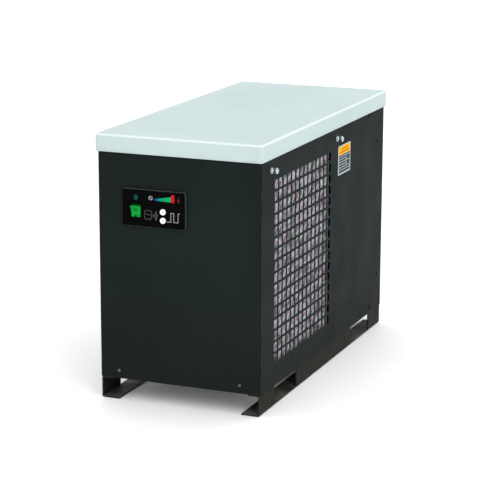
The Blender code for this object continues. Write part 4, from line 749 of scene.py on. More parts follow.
# --- Cover and side panels ----------------------------------------------------------------------
def build_cover():
    """A pressed lid: slightly crowned, with rounded edges and a folded hem around its skirt."""
    low, high = corners("top_cover")
    middle, half = middle_and_half("top_cover")
    edge, wall, crown, corner, hem = 0.0050, 0.0014, 0.0008, 0.0065, 0.0030
    rim = high.z - crown
    last = half.x - 0.006
    outside = [(0.0018, low.z), (0.0006, low.z + 0.0003), (0.0, low.z + 0.0014)]
    outside += arc((edge, rim - edge), edge, 180, 90, 7)
    for inset in (0.009, 0.020, 0.045, 0.080, 0.120, last):
        outside.append((inset, rim + crown * (1 - ((last - inset) / (last - edge)) ** 2)))
    inside = [(last, high.z - wall), (0.020, rim - wall), (edge + 0.001, rim - wall)]
    inside += arc((edge, rim - edge), edge - wall, 90, 180, 4)
    inside += [(wall, low.z + 0.0100), (hem, low.z + 0.0095), (hem, low.z + 0.0006)]
    levels = [(-inset, z) for inset, z in inside + outside]
    bm = rounded_loft(middle.xy, half.xy, corner, levels, laid("Z", 0.0))
    add_piece("cover_pressing", bm, "cover_paint", "top_cover", smooth=50)


GRILLE_PITCH = 0.0232
GRILLE_HOLE = 0.0180
GRILLE_CORNER = 0.0026
GRILLE_COLUMNS = 14
GRILLE_ROWS = 16
GRILLE_MIDDLE = (-0.1442, 0.2720)         # Y, Z
PRESSED_RIM = 0.0003                      # rounding of the sheet's edges and of the holes' rims
def snapped(value, low, high, reach):
    """value, or low or high where it is within reach of them."""
    return low if value < low + reach else high if value > high - reach else value


def build_grille():
    """The intake panel, with a field of square perforations whose corners and rims are rounded."""
    low, high = corners("right_side_panel")
    rim = PRESSED_RIM
    first = [m - n * GRILLE_PITCH / 2
             for m, n in zip(GRILLE_MIDDLE, (GRILLE_COLUMNS, GRILLE_ROWS))]
    y_lines = [low.y + rim] + [first[0] + i * GRILLE_PITCH for i in range(GRILLE_COLUMNS + 1)]
    z_lines = [low.z + rim] + [first[1] + j * GRILLE_PITCH for j in range(GRILLE_ROWS + 1)]
    y_lines.append(high.y - rim)
    z_lines.append(high.z - rim)
    bm = bmesh.new()
    inner, outer = [[[bm.verts.new((x, y, z)) for z in z_lines] for y in y_lines]
                    for x in (low.x, high.x)]
    for i in range(GRILLE_COLUMNS + 2):
        for j in range(GRILLE_ROWS + 2):
            cells = [[g[i + 1][j + 1], g[i][j + 1], g[i][j], g[i + 1][j]] for g in (inner, outer)]
            if i in (0, GRILLE_COLUMNS + 1) or j in (0, GRILLE_ROWS + 1):
                for cell in cells:
                    bm.faces.new(cell)
                continue
            place = ((y_lines[i] + y_lines[i + 1]) / 2, (z_lines[j] + z_lines[j + 1]) / 2)
            loops = []
            for x, grow in ((low.x, rim), (low.x + rim, 0), (high.x - rim, 0), (high.x, rim)):
                half = GRILLE_HOLE / 2 + grow
                outline = rounded(place, (half, half), GRILLE_CORNER + grow, 3)
                loops.append([bm.verts.new((x, y, z)) for y, z in outline])
            for one, two in zip(loops, loops[1:]):
                bridge(bm, one, two)
            for cell, loop in ((cells[0], loops[0]), (cells[1], loops[-1])):
                for k in range(4):
                    for s in range(3):
                        bm.faces.new((cell[k], loop[4 * k + s], loop[4 * k + s + 1]))
                    bm.faces.new((cell[k], loop[4 * k + 3], loop[(4 * k + 4) % 16],
                                  cell[(k + 1) % 4]))
    sides = [grid_rim(inner)]
    for x in (low.x + rim, high.x - rim):
        sides.append([bm.verts.new((x, snapped(vertex.co.y, low.y, high.y, 2 * rim),
                                    snapped(vertex.co.z, low.z, high.z, 2 * rim)))
                      for vertex in sides[0]])
    sides.append(grid_rim(outer))
    for one, two in zip(sides, sides[1:]):
        bridge(bm, one, two)
    add_piece("intake_panel", bm, "charcoal_paint", "right_side_panel", smooth=35)


LOUVRE_PITCH = (0.108, 0.0235)            # Y, Z
LOUVRE_MIDDLE = (-0.15445, 0.2700)        # Y, Z
LOUVRE_SIZE = (0.094, 0.0125)
LOUVRE_REACH = 0.0070
LOUVRE_SHEET = 0.0011


def build_louvre_hoods():
    """Pressed hoods over the exhaust slots: closed above and at both ends, open below."""
    face = corners("left_side_panel")[0].x
    along, down = 18, 7
    hoods = []
    for column in (-1, 0, 1):
        for row in range(-7, 8):
            y = LOUVRE_MIDDLE[0] + column * LOUVRE_PITCH[0]
            z = LOUVRE_MIDDLE[1] + row * LOUVRE_PITCH[1] + LOUVRE_SIZE[1] * 0.62

            def point(i, j, lift):
                u = 2 * i / along - 1
                v = j / down
                end = sqrt(max(0.0, 1 - abs(u) ** 7))
                out = (LOUVRE_REACH - LOUVRE_SHEET) * end * sin(v * pi / 2) ** 0.9
                return (face - out - lift * (0.35 + 0.65 * end) + 0.0002,
                        y + u * LOUVRE_SIZE[0] / 2, z - v * LOUVRE_SIZE[1])

            hoods.append(shell(along, down, point, (0.0, LOUVRE_SHEET)))
    add_piece("exhaust_louvres", merged(*hoods), "charcoal_paint", smooth=60)


# --- Condenser ----------------------------------------------------------------------------------
CORE_Y = (-0.3262, 0.0173)
CORE_Z = (0.0750, 0.4650)
TUBE_ROWS = 15
TUBE_RADIUS = 0.0048
FIN_COUNT = 118
FIN_THICKNESS = 0.00100
FIN_STEPS = 44
FIN_FOLDS = 6
SHEET_LIP = 0.0030
SHEET_THICKNESS = 0.0015


def fin(y, front, back):
    """One corrugated fin. Its front edge is bent a little, as handled fins are."""
    rings = []
    path = [k / FIN_FOLDS for k in range(FIN_FOLDS + 1)]
    for i in range(FIN_STEPS + 1):
        z = CORE_Z[0] + (CORE_Z[1] - CORE_Z[0]) * i / FIN_STEPS
        bent = noise.noise(Vector((y * 38, z * 62, 0.5))) * 0.0021
        bent += noise.noise(Vector((y * 9, z * 14, 7.0))) * 0.0012
        edge = noise.noise(Vector((y * 170, z * 95, 3.0))) * 0.0011
        ring = []
        for side, order in ((-0.5, path), (0.5, path[::-1])):
            for part in order:
                wave = 0.0005 * (1 if round(part * FIN_FOLDS) % 2 else -1)
                x = front - edge * (1 - part) ** 3 - (front - back) * part
                ring.append((x, y + wave + bent * (1 - part) ** 2 + side * FIN_THICKNESS, z))
        rings.append(ring)
    return loft(rings)


def build_condenser():
    """A block of fins on rows of copper tube with return bends, between two tube sheets."""
    low, high = corners("condenser_coil")
    front = high.x - SHEET_LIP
    span = CORE_Y[1] - CORE_Y[0] - 0.004
    fins = [fin(CORE_Y[0] + 0.002 + span * (k + 0.5) / FIN_COUNT, front - 0.0012, low.x)
            for k in range(FIN_COUNT)]
    add_piece("condenser_fins", merged(*fins), "fin_stock", "condenser_coil",
              smooth=30)
    plates = [softened(box((low.x, y, low.z), (high.x, y + SHEET_THICKNESS, high.z)), 0.0003)
              for y in (CORE_Y[0] - SHEET_THICKNESS, CORE_Y[1])]
    add_piece("condenser_tube_sheets", merged(*plates), "galvanised_steel")
    pitch = (CORE_Z[1] - CORE_Z[0]) / TUBE_ROWS
    middle = (low.x + front) / 2
    pipes = []
    for row in range(TUBE_ROWS):
        z = CORE_Z[0] + pitch * (row + 0.5)
        start = Vector((middle, CORE_Y[0] - 0.004, z))
        pipes.append(tube([start, start + Vector((0, CORE_Y[1] - CORE_Y[0] + 0.008, 0))],
                          TUBE_RADIUS, 16))
        collar = turned(((0.0050, 0.0), (0.0062, 0.0004), (0.0062, 0.0012), (0.0050, 0.0020)), 20)
        pipes.append(placed(collar, "Y", start + Vector((0, 0.0005, 0))))
        if row == TUBE_ROWS - 1:
            continue
        outward = 1 if row % 2 else -1
        y = CORE_Y[1] + SHEET_THICKNESS if row % 2 else CORE_Y[0] - SHEET_THICKNESS
        bend = [Vector((middle, y + outward * pitch / 2 * cos(radians(a)) * 0.98,
                        z + pitch / 2 * (1 + sin(radians(a))))) for a in range(-90, 91, 12)]
        pipes.append(tube(bend, TUBE_RADIUS, 16))
    add_piece("condenser_tubes", merged(*pipes), "copper", smooth=60)


# --- Control panel ------------------------------------------------------------------------------
INK = 0.00018                             # thickness of printed marks


def mark(name, material, *outlines, node="control_fascia"):
    """Flat print on the front of node. A pair of rims makes a ring, and a list of points a disc."""
    start = corners(node)[0].y
    shapes = []
    for outline in outlines:
        make = ring_plate if isinstance(outline, tuple) else plate
        shapes.append(make(outline, "-Y", start + 0.0001, INK + 0.0001))
    add_piece(name, merged(*shapes), material)


def shifted(points, by):
    """Flat points moved by a vector."""
    return [(x + by[0], z + by[1]) for x, z in points]


def spoke(angle, length):
    """A flat vector at an angle in degrees."""
    return Vector((cos(radians(angle)), sin(radians(angle)))) * length


def build_icons():
    """Generic pictograms: cold, a colour wedge, warm, a drain and its two timing pulses."""
    middle = centre("control_fascia").xz
    cold = middle + Vector((-0.0057, 0.0217))
    arms = []
    for k in range(3):
        tip = spoke(90 + 60 * k, 0.0043)
        arms.append(stroke([cold - tip, cold + tip], 0.0017))
    arms.append([tuple(cold + Vector(p)) for p in arc((0, 0), 0.0020, 0, 300, 5)])
    for angle in range(90, 450, 60):
        knee = cold + spoke(angle, 0.0024)
        ends = [knee + spoke(angle + t, 0.0019) for t in (48, -48)]
        arms.append(stroke([ends[0], knee, ends[1]], 0.0008))
    mark("icon_cold", "white_print", *arms)
    wedge_start, wedge_end = middle + Vector((0.0001, 0.0172)), middle + Vector((0.0372, 0.0163))
    wedge = [wedge_start, wedge_end, wedge_end + Vector((0, 0.0102)),
             wedge_start + Vector((0, 0.0032))]
    mark("dew_point_wedge", "wedge_print", wedge, node="gauge_window")
    hot = middle + Vector((0.0415, 0.0234))
    mark("dew_point_limit", "red_print", rounded(hot, (0.0035, 0.0077), 0.0020),
         node="gauge_window")
    stem = middle + Vector((0.0530, 0.0240))
    foot = rounded(stem - Vector((0, 0.0066)), (0.0017, 0.0008), 0.0007)
    mark("icon_thermometer", "grey_print",
         stroke(rounded(stem, (0.0011, 0.0032), 0.0010, 3), 0.0006, True), foot)
    mark("icon_thermometer_bulb", "red_print",
         rounded(stem - Vector((0, 0.0034)), (0.0019, 0.0016), 0.0015))
    drain = middle + Vector((-0.0112, -0.0120))
    wave = [(-0.0052, 0.0022), (-0.0020, 0.0008), (0.0020, 0.0008), (0.0052, -0.0006)]
    mark("icon_drain", "grey_print",
         stroke(rounded(drain, (0.0076, 0.0086), 0.0040, 5), 0.0017, True),
         stroke(shifted(wave, drain), 0.0016))
    valve = middle + Vector((0.0056, -0.0129))
    diamond = [(0.0, 0.0080), (-0.0027, 0.0), (0.0, -0.0080), (0.0027, 0.0)]
    chevron = [(-0.0046, 0.0028), (-0.0070, 0.0), (-0.0046, -0.0028)]
    mark("icon_valve", "dim_print", stroke(shifted(diamond, valve), 0.0016, True),
         stroke(shifted(chevron, valve), 0.0010))
    off, on = -0.0226, -0.0050
    pulses = [(0.0285, off), (0.0368, off), (0.0368, on), (0.0430, on), (0.0430, off),
              (0.0520, off), (0.0520, on), (0.0560, on)]
    mark("icon_pulses", "pale_print", stroke(shifted(pulses, middle), 0.0016))


ROCKER_TILT = 10.0                        # degrees at rest, with the upper end standing out


def build_rocker():
    """The lit switch cap: hollow lands, round upper corners, and a notch at its lower edge. A
    darker unlit oval on its middle is painted shade.
    """
    pivot = centre("rocker_frame")
    pivot.y = corners("control_fascia")[0].y + 0.0070
    half_width, half_height, tip, corner = 0.0117, 0.0127, 0.0110, 0.0064
    columns, rows = 28, 44

    def half_at(z):
        """Half the cap's width at height z: narrower below, and rounded at its corners."""
        radius = corner if z > 0 else 0.3 * corner
        over = max(0.0, abs(z) - (half_height - radius)) / radius
        width = half_width * (1 - 0.19 * max(0.0, 0.5 - z / (2 * half_height)) ** 0.9)
        return width - radius * (1 - sqrt(max(0.0, 1 - over * over)))

    def face_at(z):
        if abs(z) <= tip:
            return -0.0072 - 0.0023 * (abs(z) / tip) ** 1.7
        return -0.0095 + 0.0035 * ((abs(z) - tip) / (half_height - tip)) ** 2

    def point(i, j, front):
        u = sin((2 * i / columns - 1) * pi / 2)
        z = half_height * sin((2 * j / rows - 1) * pi / 2)
        return u * half_at(z), face_at(z) + 0.0014 * abs(u) ** 14 if front else 0.0036, z

    bm = shell(columns, rows, point, (True, False))
    notch = box((-0.0024, -0.0110, -half_height - 0.001), (0.0024, -0.0062, -half_height + 0.0050))
    floor = plate(rounded((0.0, -half_height + 0.0027), (0.0022, 0.0021), 0.0003), "-Y", -0.0062,
                  0.0003)
    # A darker unlit oval in the cap's middle: painted shade.
    shade_oval = plate(rounded((0.0, 0.0034), (0.0046, 0.0030), 0.0028), "-Y", -0.0070, 0.0008)
    turn = Matrix.Translation(pivot) @ Matrix.Rotation(radians(ROCKER_TILT), 4, "X")
    for part in (bm, notch, floor, shade_oval):
        bmesh.ops.transform(part, matrix=turn, verts=part.verts)
    add_piece("rocker_shade_oval", shade_oval, "rocker_mark", body="rocker")
    cap = add_piece("rocker_cap", bm, "rocker_green", "power_rocker", smooth=50)
    cut_piece(cap, notch)
    add_piece("rocker_notch_floor", floor, "rocker_shade", body="rocker")


KNOB_LENGTH = 0.0040
KNOB_RADIUS = 0.0059
KNOB_EDGE = 0.0012


def build_knobs():
    """Fluted trimmer caps with a pointer groove and a grey centre spot."""
    for node in ("upper_timer_knob", "lower_timer_knob"):
        low, high = corners(node)
        foot = centre(node)
        foot.y = low.y + KNOB_LENGTH
        profile = [(0.0025, foot.y - high.y), (0.0025, 0.0),
                   (KNOB_RADIUS - 0.0004, 0.0), (KNOB_RADIUS, 0.0004)]
        profile += arc((KNOB_RADIUS - KNOB_EDGE, KNOB_LENGTH - KNOB_EDGE), KNOB_EDGE, 0, 90, 6)
        profile += [(0.0020, KNOB_LENGTH), (0.0017, KNOB_LENGTH - 0.0004)]

        def fluted(angle, radius, _):
            rim = radius > KNOB_RADIUS - 0.0005
            return radius * (1 - 0.045 * max(0.0, cos(18 * angle))) if rim else radius

        cap = add_piece(node + "_cap", placed(turned(profile, 108, fluted), "-Y", foot),
                        "knob_white", node, smooth=35)
        cut_piece(cap, box((foot.x - 0.0003, low.y - 0.001, foot.z + 0.0026),
                           (foot.x + 0.0003, low.y + 0.0005, foot.z + KNOB_RADIUS + 0.001)))
        spot = turned(((0.0013, 0.0), (0.0013, 0.0003), (0.0009, 0.0005)), 20)
        add_piece(node + "_spot", placed(spot, "-Y", (foot.x, low.y + 0.0006, foot.z)),
                  "pale_print", body=BODY_OF[node])


def build_fascia():
    """The black film face, and the painted surround that holds it on the front panel. The
    surround's paint is lighter than the charcoal so that its side wall reads as lit: painted light.
    """
    refine("control_fascia", "fascia_film", 0.0005)
    middle, half = middle_and_half("control_fascia")
    front = corners("front_panel")[0].y
    reach = front - corners("control_fascia")[0].y
    levels = ((0.0001, -0.0002), (0.0001, reach), (0.0002, reach + 0.0001),
              (0.0003, reach + 0.0001), (0.0007, reach - 0.0003), (0.0007, -0.0002))
    bm = rounded_loft(middle.xz, half.xz, 0.003, levels, laid("-Y", front), False)
    add_piece("fascia_surround", bm, "trim_paint")


def build_lens_bezel():
    """The oval rim around the status lens."""
    lens = centre("status_lens")
    angles = [tau * k / 32 for k in range(32)]
    rims = [[(lens.x + grow * cos(a) * 0.0045, lens.z + grow * sin(a) * 0.0062) for a in angles]
            for grow in (1.34, 1.09)]
    bezel = ring_plate(rims, "-Y", corners("control_fascia")[0].y, 0.0006)
    add_piece("status_lens_bezel", bezel, "fascia_film")


# --- Fasteners and label ------------------------------------------------------------------------
def add_screw(name, place, axis, material="black_enamel", radius=0.0042, node=None):
    """A pan-head screw with a cross recess. place is on the face that it holds."""
    height = 0.64 * radius
    profile = [(0.48 * radius, -0.0030), (0.48 * radius, 0.0), (radius, 0.0),
               (radius, 0.22 * height)]
    for out, up in arc((0.0, 0.0), 1.0, 12, 84, 6):
        profile.append((radius * (0.02 + 0.98 * out), height * (0.16 + 0.84 * up)))
    head = add_piece(name, placed(turned(profile, 28), axis, place), material, node)
    arm, width = 0.56 * radius, 0.11 * radius
    cross = []
    quarter = [(arm, width), (width, width), (width, arm)]
    for _ in range(4):
        cross += quarter
        quarter = [(-v, u) for u, v in quarter]
    recess = plate(cross, "Z", 0.42 * height, height)
    cut_piece(head, placed(recess, axis, place))


CASE_SHIFT = -0.0062                      # Y of the case's middle
SIDE_SCREW_RADIUS = 0.0046
FRONT_SCREW_RADIUS = 0.0032
SIDE_SCREWS = ((0.266, 0.4945), (0.328, 0.428), (0.340, 0.122), (0.293, 0.056))
LEFT_SCREWS = SIDE_SCREWS + ((-0.330, 0.488), (-0.340, 0.065), (-0.340, 0.300))
REAR_SCREWS = ((-0.150, 0.480), (-0.150, 0.270), (-0.150, 0.062), (0.148, 0.480),
               (0.148, 0.270), (0.148, 0.062))


def build_screws():
    """The screws that hold the four panels."""
    right = corners("right_side_panel")[1].x
    left = corners("left_side_panel")[0].x
    rear = corners("rear_panel")[1].y
    for i, (y, z) in enumerate(SIDE_SCREWS):
        add_screw(f"right_screw_{i + 1}", (right, y + CASE_SHIFT, z), "X",
                  radius=SIDE_SCREW_RADIUS)
    for i, (y, z) in enumerate(LEFT_SCREWS):
        add_screw(f"left_screw_{i + 1}", (left, y + CASE_SHIFT, z), "-X")
    for i, (x, z) in enumerate(REAR_SCREWS):
        add_screw(f"rear_screw_{i + 1}", (x, rear, z), "Y")
    for node in ("front_screw_left", "front_screw_right"):
        place = centre(node)
        place.y = corners("front_panel")[0].y
        add_screw(node + "_head", place, "-Y", "dark_zinc", FRONT_SCREW_RADIUS, node)


def build_thumb_screws():
    """Knurled captive screws: collar, waist and slotted head, each with a black washer."""
    face = corners("right_side_panel")[1].x
    for node in ("thumb_screw_front", "thumb_screw_rear"):
        low, high = corners(node)
        place, half = middle_and_half(node)
        place.x = face
        reach = high.x - face
        radius = half.z
        profile = [(0.0022, low.x - face), (0.0030, low.x - face + 0.0012), (0.0030, 0.0003),
                   (radius - 0.0003, 0.0004), (radius, 0.0010), (radius - 0.0004, 0.0022),
                   (0.0036, 0.0032), (0.0030, 0.0044), (0.0034, 0.0058),
                   (radius - 0.0008, 0.0064), (radius, 0.0072), (radius, 0.0074),
                   (radius, reach - 0.0016), (radius - 0.0003, reach - 0.0009),
                   (radius - 0.0014, reach), (0.0030, reach), (0.0024, reach - 0.0004)]

        def knurled(angle, r, height):
            ridge = 0.07 * (0.5 + 0.5 * cos(26 * angle))
            return r * (1 - ridge) if height > 0.0070 and r > radius - 0.0005 else r

        screw = add_piece(node + "_knurled", placed(turned(profile, 104, knurled), "X", place),
                          "chrome", node, smooth=32)
        slot_half = radius + 0.001
        cut_piece(screw, box((high.x - 0.0014, place.y - 0.0006, place.z - slot_half),
                             (high.x + 0.001, place.y + 0.0006, place.z + slot_half)))
        washer = turned(((0.0078, 0.0), (0.0080, 0.0001), (0.0078, 0.00025)), 36)
        add_piece(node + "_washer", placed(washer, "X", place), "rubber")


def build_label_print():
    """Bars and blocks where the label has words: an orange header over ruled rows."""
    low, high = corners("instruction_label")
    face = high.x - 0.0001
    width, height = high.y - low.y, high.z - low.z

    def bars(name, material, areas, start=face, thickness=INK + 0.0001, corner=0.0004):
        """Each area is (left, right, bottom, top), in shares of the label's width and height."""
        shapes = []
        for left, right, bottom, top in areas:
            middle = (low.y + width * (left + right) / 2, low.z + height * (bottom + top) / 2)
            half = (width * (right - left) / 2, height * (top - bottom) / 2)
            shapes.append(plate(rounded(middle, half, corner, 2), "X", start, thickness))
        add_piece(name, merged(*shapes), material)

    bars("label_header", "orange_print", [(0.045, 0.955, 0.685, 0.955)])
    bars("label_rule", "dark_print", [(0.045, 0.955, 0.625, 0.668)])
    rows = []
    for k in range(6):
        top = 0.600 - 0.092 * k
        rows.append((0.060, 0.64 if k < 4 else 0.945, top - (0.066 if k < 5 else 0.085), top))
    blocks = [(0.68, 0.945, 0.435, 0.600), (0.68, 0.945, 0.255, 0.410)]
    bars("label_rows", "dark_print", rows + blocks)
    header = [(left, right, bottom + INK, bottom + 0.052 + INK)
              for bottom, words in ((0.835, ((0.30, 0.44), (0.47, 0.66), (0.69, 0.80))),
                                    (0.735, ((0.12, 0.26), (0.30, 0.52), (0.56, 0.86))))
              for left, right in words]
    bars("label_header_bars", "amber_print", header, face + INK, INK, 0.0003)


# --- Rear ---------------------------------------------------------------------------------------
THREAD_PITCH = 0.0023
THREAD_RADIUS = 0.0150
THREAD_STEPS = 58


def hexagonal(angle, radius, flat):
    """radius, cut back to a hexagon whose flats are this far from its middle."""
    return min(radius, flat / cos((angle % radians(60)) - radians(30)))


def build_ports():
    """Hexagonal air sockets with chamfered corners and a threaded bore."""
    rear = corners("rear_panel")[1].y
    for node in ("inlet_port", "outlet_port"):
        place, half = middle_and_half(node)
        reach = place.y + half.y - rear
        back = place.y - half.y - rear
        place.y = rear
        flat = half.x * cos(radians(30))
        thread_start = back + 0.010
        profile = [(0.0135, back + 0.006)]
        for k in range(THREAD_STEPS + 1):
            depth = thread_start + (reach - 0.0025 - thread_start) * k / THREAD_STEPS
            profile.append((THREAD_RADIUS, depth))
        profile += [(0.0164, reach - 0.0008), (0.0180, reach), (0.0236, reach),
                    (half.x, reach - 0.0037), (half.x, 0.0030), (0.0268, 0.0004),
                    (0.0214, 0.0003), (0.0214, back), (0.0160, back)]

        def shaped(angle, radius, height):
            if radius > 0.0230:
                return hexagonal(angle, radius, flat)
            if radius == THREAD_RADIUS:
                turn = (height / THREAD_PITCH - angle / tau) % 1.0
                return radius + 0.0008 * (1 - abs(2 * turn - 1))
            return radius

        add_piece(node + "_threaded", placed(turned(profile, 96, shaped), "Y", place), "brass",
                  node, smooth=28)


def build_gland():
    """The cable gland: a hexagon, a ribbed dome nut and a rubber seal with a hole for a cable."""
    rear = corners("rear_panel")[1].y
    place, half = middle_and_half("power_inlet_gland")
    reach, back = place.y + half.y - rear, place.y - half.y - rear
    place.y = rear
    flat = 0.0135 * cos(radians(30))
    profile = [(0.0052, 0.0105), (0.0052, reach), (0.0084, reach), (0.0120, 0.0150),
               (0.0122, 0.0072), (0.0110, 0.0066), (0.0110, 0.0061), (0.0130, 0.0060),
               (0.0135, 0.0054), (0.0135, 0.0010), (0.0130, 0.0003), (0.0094, 0.0003),
               (0.0094, back), (0.0060, back)]

    def shaped(angle, radius, height):
        if radius > 0.0125:
            return hexagonal(angle, radius, flat)
        if 0.0080 < radius and 0.0070 < height < reach:
            return radius * (1 - 0.05 * max(0.0, cos(16 * angle)))
        return radius

    add_piece("power_gland_nut", placed(turned(profile, 96, shaped), "Y", place), "black_plastic",
              "power_inlet_gland", smooth=30)
    seal = turned(((0.0036, 0.0100), (0.0036, 0.0185), (0.0051, 0.0195), (0.0051, 0.0100)), 40)
    add_piece("power_gland_seal", placed(seal, "Y", place), "rubber")


PLATE_MIDDLE = (-0.0350, 0.3000)          # X, Z on the rear panel
PLATE_HALF = (0.0400, 0.0260)
PLATE_THICKNESS = 0.0008
ARROW_HEIGHT = 0.4785                     # Z of the flow arrows' middles


def build_rear_details():
    """A riveted data plate with blank bars, and flow arrows above the two air ports."""
    rear = corners("rear_panel")[1].y
    outline = rounded(PLATE_MIDDLE, PLATE_HALF, 0.003)
    add_piece("data_plate", plate(outline, "Y", rear, PLATE_THICKNESS, 0.0003), "coil_aluminium")
    bars = []
    for k in range(6):
        z = PLATE_MIDDLE[1] + 0.0165 - 0.0062 * k
        left = PLATE_MIDDLE[0] - (0.030 if k in (0, 3) else 0.004 + 0.004 * (k % 3))
        right = PLATE_MIDDLE[0] + 0.031
        bars.append(plate(rounded(((left + right) / 2, z), ((right - left) / 2, 0.0011), 0.0004, 2),
                          "Y", rear + 0.0007, INK + 0.0001))
    add_piece("data_plate_bars", merged(*bars), "dark_print")
    for i, (sx, sz) in enumerate(((-1, -1), (1, -1), (1, 1), (-1, 1))):
        dome = turned([(0.0018 * cos(radians(a)), 0.0011 * sin(radians(a)))
                       for a in range(0, 86, 17)], 18)
        place = (PLATE_MIDDLE[0] + sx * (PLATE_HALF[0] - 0.004), rear + PLATE_THICKNESS,
                 PLATE_MIDDLE[1] + sz * (PLATE_HALF[1] - 0.004))
        add_piece(f"data_plate_rivet_{i + 1}", placed(dome, "Y", place), "coil_aluminium")
    shape = [(-0.0025, -0.010), (0.0025, -0.010), (0.0025, 0.001), (0.0070, 0.001),
             (0.0, 0.010), (-0.0070, 0.001), (-0.0025, 0.001)]
    for name, node, way in (("flow_in_arrow", "inlet_port", -1),
                            ("flow_out_arrow", "outlet_port", 1)):
        x = centre(node).x
        arrow = [(x + u, ARROW_HEIGHT + way * v) for u, v in shape]
        add_piece(name, plate(arrow, "Y", rear - 0.0001, INK + 0.0001), "white_print")


# --- Inside -------------------------------------------------------------------------------------
def build_wiring():
    """Cables clipped along the left rail and down to the compressor, all held at both ends."""
    back = corners("control_housing")[1].y
    gx, gy, gz = centre("power_inlet_gland")
    cx, cy, _ = centre("start_capacitor")
    cap_top = corners("start_capacitor")[1].z
    lid = corners("compressor_terminal_cover")
    lx, ly = lid[0].xy
    entry = (lid[0].x + lid[1].x) / 2 - 0.012
    rail = corners("left_top_rail")
    wall = rail[0].x + 0.012
    top = rail[1].z - 0.030
    routes = {
        "supply_cable": ("cable_sheath", 0.0036, (
            (gx, gy - 0.020, gz), (gx, gy - 0.045, gz + 0.004),
            (wall + 0.008, gy - 0.100, gz + 0.045), (wall, 0.150, top), (wall, 0.0, top),
            (wall, -0.150, top), (wall + 0.006, -0.240, top - 0.020),
            (-0.100, back + 0.030, 0.412), (-0.095, back + 0.010, 0.405),
            (-0.095, back - 0.001, 0.405))),
        "compressor_cable": ("cable_sheath", 0.0030, (
            (-0.085, back - 0.001, 0.398), (-0.085, back + 0.012, 0.398),
            (-0.112, back + 0.050, 0.405), (wall + 0.009, -0.180, top - 0.004),
            (wall + 0.008, -0.080, top - 0.006), (wall + 0.010, -0.030, top - 0.050),
            (wall + 0.016, -0.022, 0.340), (wall + 0.026, -0.022, 0.250),
            (-0.090, -0.012, 0.220), (entry, ly - 0.012, 0.226), (entry, ly + 0.001, 0.226))),
        "capacitor_wire_blue": ("wire_blue", 0.0014, (
            (cx - 0.006, cy, cap_top + 0.002), (cx - 0.007, cy, cap_top + 0.020),
            (-0.120, -0.012, 0.190), (-0.070, -0.010, 0.208), (lx + 0.006, ly - 0.008, 0.205),
            (lx + 0.008, ly + 0.001, 0.205))),
        "capacitor_wire_brown": ("wire_brown", 0.0014, (
            (cx + 0.006, cy, cap_top + 0.002), (cx + 0.007, cy, cap_top + 0.017),
            (-0.105, -0.014, 0.178), (-0.064, -0.012, 0.195), (lx + 0.006, ly - 0.010, 0.195),
            (lx + 0.008, ly + 0.001, 0.195))),
    }
    for name, (material, radius, points) in routes.items():
        add_piece(name, tube(smooth_route(points), radius), material,
                  smooth=60)
    for i, y in enumerate((-0.150, -0.020, 0.150)):
        clip = ring_plate((rounded((wall, top), (0.0062, 0.0058), 0.0050),
                           rounded((wall, top), (0.0050, 0.0046), 0.0040)), "-Y", y, 0.006)
        tongue = box((rail[0].x + 0.0021, y - 0.006, top + 0.004), (wall, y, top + 0.0056))
        add_piece(f"cable_clip_{i + 1}", merged(clip, tongue), "black_plastic")
    for i, x in enumerate((cx - 0.006, cx + 0.006)):
        tab = box((x - 0.0030, cy - 0.0004, cap_top - 0.001),
                  (x + 0.0030, cy + 0.0004, cap_top + 0.007))
        add_piece(f"capacitor_tab_{i + 1}", softened(tab, 0.0002), "brass")


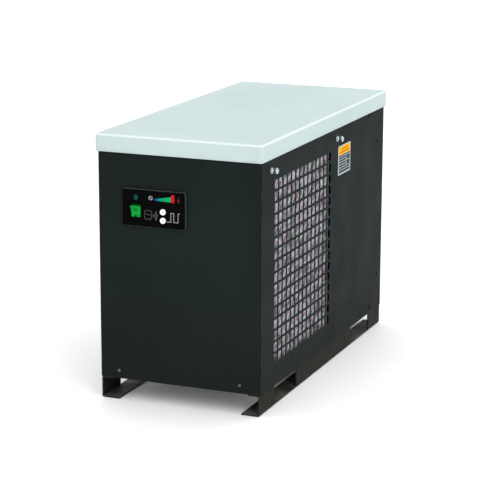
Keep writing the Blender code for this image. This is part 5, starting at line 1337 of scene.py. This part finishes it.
def build_inner_details():
    """Two straps around the heat exchanger, and the weld seam around the compressor."""
    middle, half = middle_and_half("heat_exchanger")
    width, lift, ramp = 0.012, 0.0010, 0.0006
    straps = []
    for level in (0.205, 0.395):
        rings = []
        for grow, z in ((0.0, level), (lift, level + ramp), (lift, level + width - ramp),
                        (0.0, level + width)):
            size = (half.x + grow - 0.0002, half.y + grow - 0.0002)
            rings.append([(x, y, z) for x, y in rounded(middle.xy, size, 0.0142, 6)])
        straps.append(loft(rings))
    add_piece("exchanger_straps", merged(*straps), "galvanised_steel")
    middle, half = middle_and_half("compressor_shell")
    seam = []
    for grow, z in ((0.999, 0.1605), (1.018, 0.1620), (1.024, 0.1650), (1.018, 0.1680),
                    (0.999, 0.1695)):
        reach = half * grow * 0.985
        seam.append([(middle.x + reach.x * cos(tau * k / 96),
                      middle.y + reach.y * sin(tau * k / 96), z) for k in range(96)])
    add_piece("compressor_seam", loft(seam), "black_enamel", smooth=60)


# --- Assembly -----------------------------------------------------------------------------------
# How far each kept node's edges are rounded
REFINED = {
    "base_deck": 0.0003, "left_skid": 0.0005, "right_skid": 0.0005, "front_panel": 0.0003,
    "rear_panel": 0.0003, "left_side_panel": 0.0003, "left_top_rail": 0.0003,
    "right_top_rail": 0.0003, "top_cross_brace": 0.0003, "control_housing": 0.0004,
    "rocker_frame": 0.0004, "compressor_base": 0.0004,
    "compressor_terminal_cover": 0.0020, "drain_valve_body": 0.0008,
    "drain_solenoid_coil": 0.0015, "exchanger_stand": 0.0004, "condenser_stand": 0.0004,
    "fan_motor_bracket": 0.0004, "gauge_window": 0.0002,
}
LOOKS = {"left_skid": "skid_paint", "right_skid": "skid_paint", "rocker_frame": "fascia_film"}


def dress_kept_nodes():
    """Give every CAD node that stays in view its procedural material."""
    for name, node in NODES.items():
        if node.hide_render:
            continue
        for slot in node.material_slots:
            slot.material = MATERIALS[SLOT_OF[name]]


def build_floor():
    """A wide pale floor at the skids' feet."""
    bm = bmesh.new()
    bmesh.ops.create_grid(bm, x_segments=24, y_segments=24, size=14.0)
    mesh = bpy.data.meshes.new("floor")
    bm.to_mesh(mesh)
    bm.free()
    mesh.materials.append(floor_finish("floor_finish"))
    floor = bpy.data.objects.new("floor", mesh)
    floor.location.z = cad_box[0].z
    bpy.context.scene.collection.objects.link(floor)


def build_object():
    for node, width in REFINED.items():
        refine(node, LOOKS.get(node, SLOT_OF[node]), width)
    build_cover()
    build_grille()
    build_louvre_hoods()
    build_condenser()
    build_fascia()
    build_icons()
    build_rocker()
    build_knobs()
    build_lens_bezel()
    build_screws()
    build_thumb_screws()
    build_label_print()
    build_ports()
    build_gland()
    build_rear_details()
    build_wiring()
    build_inner_details()
    dress_kept_nodes()


build_camera()
build_lights()
build_floor()
build_object()
